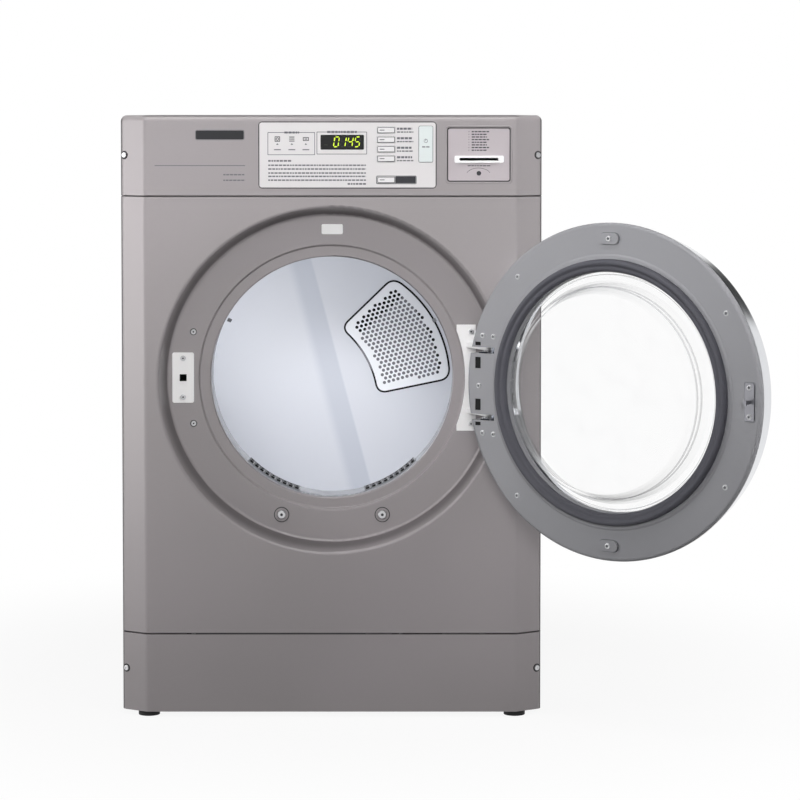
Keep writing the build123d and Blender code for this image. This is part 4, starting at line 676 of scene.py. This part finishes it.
def makeButtonMarks():
    face = place["insertFace"]
    made, work = piece("panel_pause_patch", "darkInk")
    addFrame(work, panel["patchBox"], *panel["patchFrame"], face)
    addPlate(work, panel["patch"], face, corner=panel["patchRound"])
    settle(made, work)
    made, work = piece("panel_labels", "ink")
    for row, z in enumerate(panel["buttons"][:-1]):
        for span, rise, height, seed in panel["labels"]:
            addWords(work, span, z + rise, height, face, row + seed)
    addFrame(work, panel["start"], *panel["startFrame"], face)
    settle(made, work)


def makeButtonPrints():
    # the outline and dash on each key and the marks on the start key travel with their keys
    for name, z in zip(wears["button"].split(), panel["buttons"]):
        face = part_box(name)[0].y
        made, work = piece(name + "_mark", "darkInk", body=name + "_body")
        addFrame(work, around(panel["buttonMiddle"], z, *panel["buttonHalf"]), *panel["buttonFrame"], face)
        addPlate(work, (*panel["dash"], z - panel["dashHalf"], z + panel["dashHalf"]), face)
        settle(made, work)
    low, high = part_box("start_button")
    made, work = piece("start_button_mark", "ink", body="start_button_body")
    middle = (low.x + high.x) / 2
    addRing(work, middle, *panel["startRing"], low.y)
    addPlate(work, around(middle, *panel["startBar"]), low.y)
    half, z, height, seed = panel["startWords"]
    addWords(work, (middle - half, middle + half), z, height, low.y, seed)
    settle(made, work)


display = {"start": 0.0040, "pitch": 0.0113, "low": 0.9322, "size": (0.0074, 0.0158), "half": 0.00075,
           "gap": 0.00093, "slant": 0.16, "digits": "0145", "sign": (-0.0105, -0.0045, 0.9344, 0.9360)}
segmentsOf = {"0": "abcdef", "1": "bc", "4": "fgbc", "5": "afgcd"}


def segmentOutline(letter):
    # one bar of a seven-segment digit, with pointed ends, from the digit's lower left corner
    (width, height), half, gap = display["size"], display["half"], display["gap"]
    flat = letter in "agd"
    length = width if flat else height / 2
    left = width if letter in "bc" else 0.0
    low = height if letter == "a" else height / 2 if letter in "gfb" else 0.0
    ends = (gap, gap + half, length - gap - half, length - gap, length - gap - half, gap + half)
    points = zip(ends, (0.0, half, half, 0.0, -half, -half))
    return [(left + along, low + off) if flat else (left + off, low + along) for along, off in points]


def makeDigits():
    # the lit segments, and the unlit ones with the sign before them
    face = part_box("display_window")[0].y
    for look, rise in (("digits", inkRise), ("unlit", inkRise / 2)):
        made, work = piece("display_" + look, look)
        for index, digit in enumerate(display["digits"]):
            x = display["start"] + index * display["pitch"]
            for letter in "abcdefg":
                if (letter in segmentsOf[digit]) == (look == "digits"):
                    outline = [(x + px + pz * display["slant"], display["low"] + pz)
                               for px, pz in segmentOutline(letter)]
                    addPrism(work, outline, face, rise)
        if look == "unlit":
            addPlate(work, display["sign"], face)
        settle(made, work)


card = {
    "top": 0.9565, "pitch": 0.00428, "rows": 8, "bullet": (0.2235, 0.0007), "bars": (0.2280, 0.2562),
    "barHeight": 0.0018, "barSeed": 5, "shorter": 0.004, "wander": 2.1,
    "under": ((0.2214, 0.2595), 0.9007, 0.0012), "underSeed": 4,
    "dome": (0.2390, 0.8860, 0.0200, 0.0120), "domeArc": (20, 160), "domeLine": 0.0006, "steps": 16,
    "lens": (0.23965, 0.8892, 0.0038), "lensRise": 0.0015,
}


def makeCardPrint():
    # a list with its bullets, a line under it, and an arc over the plate's round lens
    face, steps = place["cardFace"], card["steps"]
    made, work = piece("card_reader_print", "darkInk")
    left, right = card["bars"]
    bullet, radius = card["bullet"]
    height = card["barHeight"]
    for row in range(card["rows"]):
        z = card["top"] - row * card["pitch"]
        addPrism(work, circle(bullet, z, radius, steps=8), face, inkRise)
        span = (left, right - card["shorter"] * abs(math.sin(row * card["wander"])))
        addWords(work, span, z - height / 2, height, face, row * card["barSeed"])
    addWords(work, *card["under"], face, card["underSeed"])
    addPrism(work, circle(*card["lens"], steps), face - card["lensRise"], inkRise)
    x, z, wide, high = card["dome"]
    start, end = card["domeArc"]
    arc = [math.radians(start + (end - start) * step / steps) for step in range(steps + 1)]
    outer, inner = ([(x + (wide - by) * math.cos(turn), z + (high - by) * math.sin(turn)) for turn in arc]
                    for by in (0.0, card["domeLine"]))
    for outline in zip(outer, outer[1:], inner[1:], inner):
        addPrism(work, outline, face, inkRise)
    settle(made, work)


gasketRing = {
    "profile": ((0.2080, 0.0), (0.2083, 0.006), (0.2065, 0.0105), (0.2030, 0.0124), (0.1995, 0.0110),
                (0.1975, 0.0075), (0.1950, 0.0088), (0.1915, 0.0082), (0.1892, 0.0050), (0.1890, 0.0)),
    "steps": 144,
}


def lathe(work, profile, centre, base, steps=24, sign=1):
    # profile is (radius, height off the base plane); the axis runs along Y
    bridge(work, [addLoop(work, circle(*centre, radius, steps), base + sign * height)
                  for radius, height in profile])


def makeGasket():
    made, work = piece("door_seal_ribbed", "gasket", "door")
    lathe(work, gasketRing["profile"], (0.0, place["axis"]), place["liner"], gasketRing["steps"])
    soft = made.modifiers.new("soft", "SUBSURF")
    soft.levels = soft.render_levels = 1
    settle(made, work, True, ("door_gasket",))


recess = {
    "plate": (-0.0166, 0.0182, 0.7881, 0.8047), "plateRound": 0.0022, "plateRise": 0.00015,
    "lintScrews": ((-0.083, 0.3255), (0.083, 0.3255)),
    "dish": ((0.0072, 0.0), (0.0075, 0.0016), (0.0086, 0.0020), (0.0098, 0.0007), (0.0108, 0.0020),
             (0.0121, 0.0)),
    "ring": ((0.0109, 0.0), (0.0109, 0.0012), (0.0126, 0.0012), (0.0126, 0.0)),
    "smallRing": ((0.0045, 0.0), (0.0045, 0.0006), (0.0056, 0.0006), (0.0056, 0.0)),
    "smallScrews": ((-0.2274, 0.6276), (-0.2274, 0.4764)),
    "strikeScrews": ((-0.2445, 0.520), (-0.2445, 0.584)),
    "hingeScrews": ((0.229, 0.476), (0.229, 0.628)),
    "sockets": (("smallScrews", -0.3012, 0.00145), ("strikeScrews", -0.3027, 0.00145),  # head's face, radius
                ("hingeScrews", -0.3032, 0.00145), ("lintScrews", -0.3025, 0.00232)),
    "sunk": 0.0003, "disc": 0.0001,
    "sideScrews": ((-0.3365, 0.0775), (-0.3365, 0.9185), (0.3365, 0.0775), (0.3365, 0.9185)),
    "sideRim": ((0.0046, 0.0), (0.0048, 0.0009), (0.0062, 0.0009), (0.0068, 0.0)),
    "sideScrewY": -0.3308, "cornerTurn": 30.34,
    "strike": (-0.2445, 0.552), "strikeHole": 0.01126, "strikeWall": 0.0004,
    "strikeDepth": (-0.3003, -0.2812),
}


def makeRecessPieces():
    face = place["recessFloor"]
    made, work = piece("recess_service_plate", "servicePlate")
    addPlate(work, recess["plate"], face, recess["plateRise"], recess["plateRound"])
    settle(made, work)
    made, work = piece("recess_screw_dishes", "cabinet")
    for centre in recess["lintScrews"]:
        lathe(work, recess["dish"], centre, face, steps=40, sign=-1)
    settle(made, work, True)
    # painted shade: dark rings round the screws' dishes and dark discs in their sockets
    made, work = piece("recess_screw_shade_rings", "plaqueAndShade")
    for profile, centres, steps in (("ring", "lintScrews", 40), ("smallRing", "smallScrews", 24)):
        for centre in recess[centres]:
            lathe(work, recess[profile], centre, face, steps, sign=-1)
    for centres, front, radius in recess["sockets"]:
        for x, z in recess[centres]:
            addPrism(work, circle(x, z, radius, steps=16), front + recess["sunk"], recess["disc"])
    settle(made, work)


def makeSideScrewRims():
    # dark rims of painted shade round the side screws; each rim is made at the origin, then turned to lie on
    # the cabinet's bent corner
    made, work = piece("side_screw_shade_rims", "groove")
    for x, z in recess["sideScrews"]:
        count = len(work.verts)
        lathe(work, recess["sideRim"], (0.0, 0.0), 0.0, steps=28, sign=-1)
        turn = math.radians(math.copysign(recess["cornerTurn"], x))
        there = Matrix.Translation((x, recess["sideScrewY"], z)) @ Matrix.Rotation(turn, 4, "Z")
        bmesh.ops.transform(work, matrix=there, verts=list(work.verts)[count:])
    settle(made, work, True)


def makeStrikeLining():
    # painted shade: a black sheet on the walls of the strike's pocket, open to the door's hook
    near, far = recess["strikeDepth"]
    half, wall = recess["strikeHole"] / 2, recess["strikeWall"]
    made, work = piece("strike_pocket_shade", "shadeBlack")
    loops = [addLoop(work, rounded(*around(*recess["strike"], half - inset, half - inset)), y)
             for inset, y in ((0.0, near), (0.0, far), (wall, far - wall), (wall, near))]
    bridge(work, loops)
    work.faces.new(loops[1])
    work.faces.new(loops[2])
    settle(made, work)


# Places on the liner of the shut door, with z from the door's axis and rise to the rear
lining = {
    "radius": 0.243, "angles": (46.0, 147.0, 213.0, 314.0),
    "doorRadius": 0.2645,
    "hinge": ((0.0295, 0.078), (0.0500, 0.077), (0.0295, -0.079), (0.0500, -0.080), (0.0220, -0.003)),
    "pad": (0.0, 0.240, 0.0038), "latch": (-0.2445, 0.022, 0.002),
    "rim": ((0.0037, 0.0), (0.0038, 0.0003), (0.0042, 0.0003), (0.0044, 0.0)),
    "head": 0.00176, "padHead": 0.00198, "socket": 0.00115, "sunk": 0.0003, "disc": 0.0001,
    "face": (0.0025, 0.001265), "faceRise": 0.00004,
    "slotX": 0.2445, "slotHalf": 0.0050, "slots": ((0.0247, 0.0428), (0.0617, 0.0673)), "slotSunk": 0.0013,
    "slotWall": 0.0003,
    "plates": ((0.0, -0.240, 0.017, 0.0085, 0.008), (0.0, 0.240, 0.017, 0.0085, 0.008),
               (-0.2445, 0.0, 0.008, 0.029, 0.001)),
    "plateLine": (0.0013, 0.0002), "plateRise": 0.0002,
}


def linerScrews():
    # x, z and rise of each screw in the liner: round it, by the hinge, on the two pads and at the hook
    spots = [(lining["radius"] * math.cos(math.radians(turn)),
              lining["radius"] * math.sin(math.radians(turn)), 0.0) for turn in lining["angles"]]
    spots += [(lining["doorRadius"] - inset, z, 0.0) for inset, z in lining["hinge"]]
    for x, apart, rise in (lining["pad"], lining["latch"]):
        spots += [(x, side * apart, rise) for side in (-1, 1)]
    return [(x, place["axis"] + z, rise) for x, z, rise in spots]


def makeLinerPieces():
    liner, axis = place["liner"], place["axis"]
    made, work = piece("door_screw_rims", "screw", "door")
    for x, z, rise in linerScrews():
        lathe(work, lining["rim"], (x, z), liner + rise)
    settle(made, work, True)
    # painted shade: dark discs in the screws' sockets
    made, work = piece("door_screw_sockets", "plaqueAndShade", "door")
    for x, z, rise in linerScrews():
        top = liner + rise + lining["head"] - lining["sunk"]
        addPrism(work, circle(x, z, lining["socket"], steps=12), top, lining["disc"])
    settle(made, work)
    made, work = piece("door_screw_faces", "cupAndShade", "door")
    for x, z, rise in linerScrews():
        head = lining["padHead" if rise == lining["pad"][2] else "head"] + lining["faceRise"]
        addRing(work, x, z, *lining["face"], liner + rise + head, lining["faceRise"])
    settle(made, work)
    # painted shade: black sheets down in the hinge arms' slots
    made, work = piece("door_slot_shades", "shadeBlack", "door")
    for low, high in lining["slots"]:
        for z in ((low + high) / 2, -(low + high) / 2):
            box = around(lining["slotX"], axis + z, lining["slotHalf"], (high - low) / 2)
            addPlate(work, box, liner - lining["slotSunk"], lining["slotWall"])
    settle(made, work)
    # painted shade: darker bands round the bases of the pads and the latch plate
    made, work = piece("door_plate_shade_lines", "cupAndShade", "door")
    for x, z, wide, high, corner in lining["plates"]:
        outer, inner = ((distance, corner + distance) for distance in lining["plateLine"])
        addFrame(work, around(x, axis + z, wide, high), outer, inner, liner + lining["plateRise"],
                 lining["plateRise"])
    settle(made, work)


outlet = {
    "spans": ((225.0, 254.0), (286.0, 315.0)), "edge": (0.1964, -0.2872), "inner": (0.1905, -0.2761),
    "count": 9, "steps": 18, "thick": 0.0010,
    "slots": ((0.26, 0.14, 0.52), (0.14, 0.66, 0.84)), "slotRise": 0.0013,  # half width, from, to
    "rib": (0.40, 0.46), "ribShares": (0.2, 0.75), "ribRise": 0.0015,
    "clips": (29.0, 151.0), "clipHalf": 0.85, "clipShares": (0.0, 0.7), "clipRise": 0.0030,
}


def onOutlet(turn, share, lift=0.0):
    # a point on the slanted outlet strip, share 0 at its edge and 1 at its inner side
    (r0, y0), (r1, y1) = outlet["edge"], outlet["inner"]
    slope = math.hypot(r1 - r0, y1 - y0)
    radius = r0 + (r1 - r0) * share - lift * (y1 - y0) / slope
    y = y0 + (y1 - y0) * share + lift * (r1 - r0) / slope
    angle = math.radians(turn)
    return (radius * math.cos(angle), y, place["axis"] + radius * math.sin(angle))


def addPatch(work, first, last, low, high, lift, steps=1):
    # a curved plate on the strip between two angles and two shares
    turns = [first + (last - first) * step / steps for step in range(steps + 1)]
    sides = ((low, 0.0), (low, lift), (high, lift), (high, 0.0))
    loops = [[work.verts.new(onOutlet(turn, share, up)) for turn in turns] for share, up in sides]
    bridge(work, loops + loops[:1], False)
    for end in (0, -1):
        work.faces.new([loop[end] for loop in loops])


def makeOutletGrids():
    near, far = outlet["rib"]
    shares, rise = outlet["ribShares"], outlet["ribRise"]
    grids = piece("air_outlet_grids", "outletGrid")
    # painted shade: black strips for the dark insides of the outlet's slots
    slots = piece("air_outlet_slots", "shadeBlack")
    ribs = piece("air_outlet_ribs", "grille")
    for first, last in outlet["spans"]:
        addPatch(grids[1], first, last, 0.0, 1.0, outlet["thick"], outlet["steps"])
        pitch = (last - first) / outlet["count"]
        for index in range(outlet["count"]):
            turn = first + pitch * (index + 0.5)
            for half, low, high in outlet["slots"]:
                addPatch(slots[1], turn - pitch * half, turn + pitch * half, low, high, outlet["slotRise"])
            addPatch(ribs[1], turn + pitch * near, turn + pitch * far, *shares, rise)
    for made, work in (grids, slots, ribs):
        settle(made, work)
    made, work = piece("tub_edge_clips", "outletGrid")
    half = outlet["clipHalf"]
    for turn in outlet["clips"]:
        addPatch(work, turn - half, turn + half, *outlet["clipShares"], outlet["clipRise"], 2)
    settle(made, work)


grille = {
    "corners": ((0.101, 0.675), (0.206, 0.489), (0.0735, 0.4615), (0.006, 0.583)),
    "bows": ((0.181, 0.588), None, (0.0515, 0.5295), None), "nudge": 0.00002,
    "round": 0.016, "margin": 0.0122, "pitch": 0.0088, "hole": 0.0031, "tilt": 15.5, "reach": 20,
    "steps": 24, "cornerSteps": 8,
    "groove": (0.0036, 0.0002), "grooveRise": 0.0006, "shade": 0.0003, "sheet": 0.0004, "backing": 0.0008,
    "baffle": ((0.0292, 0.5618), (0.1207, 0.6432), (0.1318, 0.6349), (0.1585, 0.5933), (0.1760, 0.5554),
               (0.1864, 0.5145), (0.1839, 0.4955), (0.0860, 0.4671), (0.0623, 0.5018), (0.0449, 0.5334)),
}


def arcThrough(first, middle, last, steps):
    # points of the arc through three points, the last one left out
    (ax, az), (bx, bz), (cx, cz) = first, middle, last
    cross = 2 * (ax * (bz - cz) + bx * (cz - az) + cx * (az - bz))
    squares = [x * x + z * z for x, z in (first, middle, last)]
    x = (squares[0] * (bz - cz) + squares[1] * (cz - az) + squares[2] * (az - bz)) / cross
    z = (squares[0] * (cx - bx) + squares[1] * (ax - cx) + squares[2] * (bx - ax)) / cross
    radius = math.hypot(ax - x, az - z)
    start, end = math.atan2(az - z, ax - x), math.atan2(cz - z, cx - x)
    span = (end - start + math.pi) % (2 * math.pi) - math.pi
    turns = [start + span * step / steps for step in range(steps)]
    return [(x + radius * math.cos(turn), z + radius * math.sin(turn)) for turn in turns]


def grilleLoop():
    # the plate's four sides, two of them bowed, with rounded corners
    corners, sides = grille["corners"], []
    following = corners[1:] + corners[:1]
    for first, last, bow in zip(corners, following, grille["bows"]):
        middle = bow or ((first[0] + last[0]) / 2 + grille["nudge"], (first[1] + last[1]) / 2)
        sides.append([point for point in arcThrough(first, middle, last, grille["steps"])
                      if min(math.dist(point, first), math.dist(point, last)) > grille["round"]])
    loop = []
    for side, after, corner in zip(sides, sides[1:] + sides[:1], following):
        loop += side
        for step in range(1, grille["cornerSteps"]):
            t = step / grille["cornerSteps"]
            loop.append([(1 - t) ** 2 * start + 2 * t * (1 - t) * bend + t * t * end
                         for start, bend, end in zip(side[-1], corner, after[0])])
    return loop


def inside(point, loop):
    x, z = point
    found = False
    for index, (ax, az) in enumerate(loop):
        bx, bz = loop[index - 1]
        if (az > z) != (bz > z) and x < (bx - ax) * (z - az) / (bz - az) + ax:
            found = not found
    return found


def offset(loop, by):
    # the loop moved out by a distance
    moved = []
    for index, (x, z) in enumerate(loop):
        (px, pz), (nx, nz) = loop[index - 1], loop[(index + 1) % len(loop)]
        normal = Vector((pz - nz, nx - px)).normalized()
        moved.append((x + normal.x * by, z + normal.y * by))
    return moved


def grilleHoles(field):
    # the holes' middles, in staggered rows that fill the field
    pitch, turn = grille["pitch"], math.radians(grille["tilt"])
    x, z = (sum(values) / len(field) for values in zip(*field))
    count = range(-grille["reach"], grille["reach"] + 1)
    spots = []
    for row in count:
        for column in count:
            across, along = pitch * (column + row % 2 / 2), pitch * row * math.sqrt(3) / 2
            spots.append((x + across * math.cos(turn) - along * math.sin(turn),
                          z + across * math.sin(turn) + along * math.cos(turn)))
    return [spot for spot in spots if inside(spot, field)]


def makeGrille():
    low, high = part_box("inlet_grille")
    loop = grilleLoop()
    made, work = piece("inlet_grille_plate", "grille")
    edges = []
    field = offset(loop, -grille["margin"])
    holes = [circle(x, z, grille["hole"], steps=12) for x, z in grilleHoles(field)]
    back = high.y - grille["backing"]
    for outline in [loop] + holes:
        ring = addLoop(work, outline, back)
        edges += [work.edges.new((ring[index - 1], ring[index])) for index in range(len(ring))]
    bmesh.ops.triangle_fill(work, use_beauty=True, edges=edges)
    pulled = bmesh.ops.extrude_face_region(work, geom=list(work.faces))
    moved = [item for item in pulled["geom"] if isinstance(item, bmesh.types.BMVert)]
    bmesh.ops.translate(work, vec=(0.0, low.y - back, 0.0), verts=moved)
    settle(made, work, False, ("inlet_grille",))
    # painted shade: a black line round the plate, and a black sheet behind its holes
    made, work = piece("inlet_grille_shade_line", "shadeBlack")
    addBand(work, *(offset(loop, distance) for distance in grille["groove"]), high.y, grille["grooveRise"])
    settle(made, work)
    made, work = piece("inlet_shade", "shadeBlack")
    addPrism(work, offset(loop, -grille["margin"] / 2), high.y, grille["shade"])
    settle(made, work)
    made, work = piece("inlet_baffle", "baffle")
    addPrism(work, grille["baffle"], high.y - grille["shade"], grille["sheet"])
    settle(made, work)
    print("inlet grille with", len(holes), "holes")


makeFasciaPrints()
makePanelPrints()
makeIcons()
makeButtonMarks()
makeButtonPrints()
makeDigits()
makeCardPrint()
makeGasket()
makeRecessPieces()
makeSideScrewRims()
makeStrikeLining()
makeLinerPieces()
makeOutletGrids()
makeGrille()
print("prints, plates, seal and grille added")


# Stage, light and camera

stage = {"floorSize": 24.0, "floorColour": (238, 238, 238), "floorSpeck": (230, 230, 230),
         "near": 0.45, "far": 1.2, "keep": 0.9}


def makeFloor():
    # pale, keeps the object's shadow near it, and goes to plain white further off
    mesh = bpy.data.meshes.new("floor")
    half = stage["floorSize"] / 2
    mesh.from_pydata([(x, y, 0) for x, y in rounded(-half, half, -half, half)], [], [range(4)])
    floor = linked("floor", mesh)
    shade = Shade("paleFloor")
    colour = shade.mixed(shade.grain(40) * 0.1, tone(stage["floorColour"]), tone(stage["floorSpeck"]))
    matt = shade.node("ShaderNodeBsdfDiffuse", None, {"Color": colour})
    white = shade.node("ShaderNodeEmission")
    distance = shade.node("ShaderNodeVectorMath", {"operation": "LENGTH"}, {0: shade.spot}, output="Value")
    whiter = shade.ramp(distance, stage["near"], stage["far"], stage["keep"], 1.0)
    seen = shade.ray("Camera").most(shade.ray("Glossy")).most(shade.ray("Transmission"))
    floor.data.materials.append(shade.done(shade.node("ShaderNodeMixShader", None, {
        0: seen * whiter, 1: matt, 2: white})))
    floor.visible_diffuse = False


studio = {"high": 0.09, "low": 0.03, "flag": (0.10, 0.17, 0.42, 0.52), "flagLevel": 0.06}


def makeWorld():
    # white to the camera and through glass; light from above; a dark flag for the plated parts to reflect
    world = bpy.data.worlds.new("studio")
    scene.world = world
    shade = Shade("studio", world)
    rise = shade.axis("Z")
    soft = shade.ramp(rise, -0.1, 0.3, studio["low"], studio["high"])
    shine = shade.ramp(shade.band(rise, *studio["flag"]), 0.0, 1.0, 1.0, studio["flagLevel"])
    glossy = shade.ray("Glossy")
    seen = shade.ray("Camera").most(shade.ray("Transmission"))
    level = seen + (1.0 - seen) * (glossy * shine + (1.0 - glossy) * soft)
    back = shade.node("ShaderNodeBackground", None, {"Color": (1, 1, 1, 1), "Strength": level})
    shade.node("ShaderNodeOutputWorld", None, {"Surface": back})


lamps = {
    "overhead": {"at": (-0.1, -1.1, 2.3), "to": (0.0, -0.35, 0.7), "size": (1.8, 0.7), "power": 14,
                 "shine": True},
    "left": {"at": (-2.2, -1.0, 0.92), "to": (-0.1, -0.35, 0.62), "size": (1.2, 1.7), "power": 22.5,
             "shine": True},
    "right": {"at": (2.4, -1.1, 1.4), "to": (0.2, -0.4, 0.6), "size": (0.9, 0.9), "power": 22},
    "key": {"at": (-0.2, -3.6, 1.7), "to": (0.0, -0.35, 0.80), "size": (3.2, 0.6), "power": 6.1,
            "spread": 32},
    "front": {"at": (0.1, -4.2, 1.3), "to": (0.0, 0.2, 0.6), "size": (1.6, 1.6), "power": 7},
    "mouth": {"at": (0.0, -0.12, 0.60), "to": (0.0, 0.34, 0.54), "size": (0.26, 0.26), "power": 0.66},
    "inside": {"at": (-0.19, 0.14, 0.56), "to": (-0.17, 0.34, 0.56), "size": (0.2, 0.25), "power": 0.23},
}


def makeLamps():
    for name, lamp in lamps.items():
        data = bpy.data.lights.new(name, "AREA")
        data.shape = "RECTANGLE"
        data.size, data.size_y = lamp["size"]
        data.energy = lamp["power"]
        data.spread = math.radians(lamp.get("spread", 180))
        light = linked(name, data)
        light.location = lamp["at"]
        light.rotation_euler = (Vector(lamp["to"]) - Vector(lamp["at"])).to_track_quat("-Z", "Y").to_euler()
        light.visible_camera = False
        light.visible_glossy = lamp.get("shine", False)
        light.visible_transmission = False


# The photograph's verticals run almost parallel, so the view is part tilt and part shift
eye = {"at": (0.097, -4.719, 0.987), "lens": 121.35, "sensor": 36.0, "tilt": 2.7, "shift": (0.0115, -0.2),
       "clip": (0.05, 60.0)}


def makeCamera():
    data = bpy.data.cameras.new("eye")
    data.sensor_width = eye["sensor"]
    data.lens = eye["lens"]
    data.shift_x, data.shift_y = eye["shift"]
    data.clip_start, data.clip_end = eye["clip"]
    camera = linked("eye", data)
    camera.location = eye["at"]
    camera.rotation_euler = (math.radians(90.0 - eye["tilt"]), 0, 0)
    scene.camera = camera


makeFloor()
makeWorld()
makeLamps()
makeCamera()
scene.view_settings.view_transform = "Standard"
print("stage, lamps and camera ready")
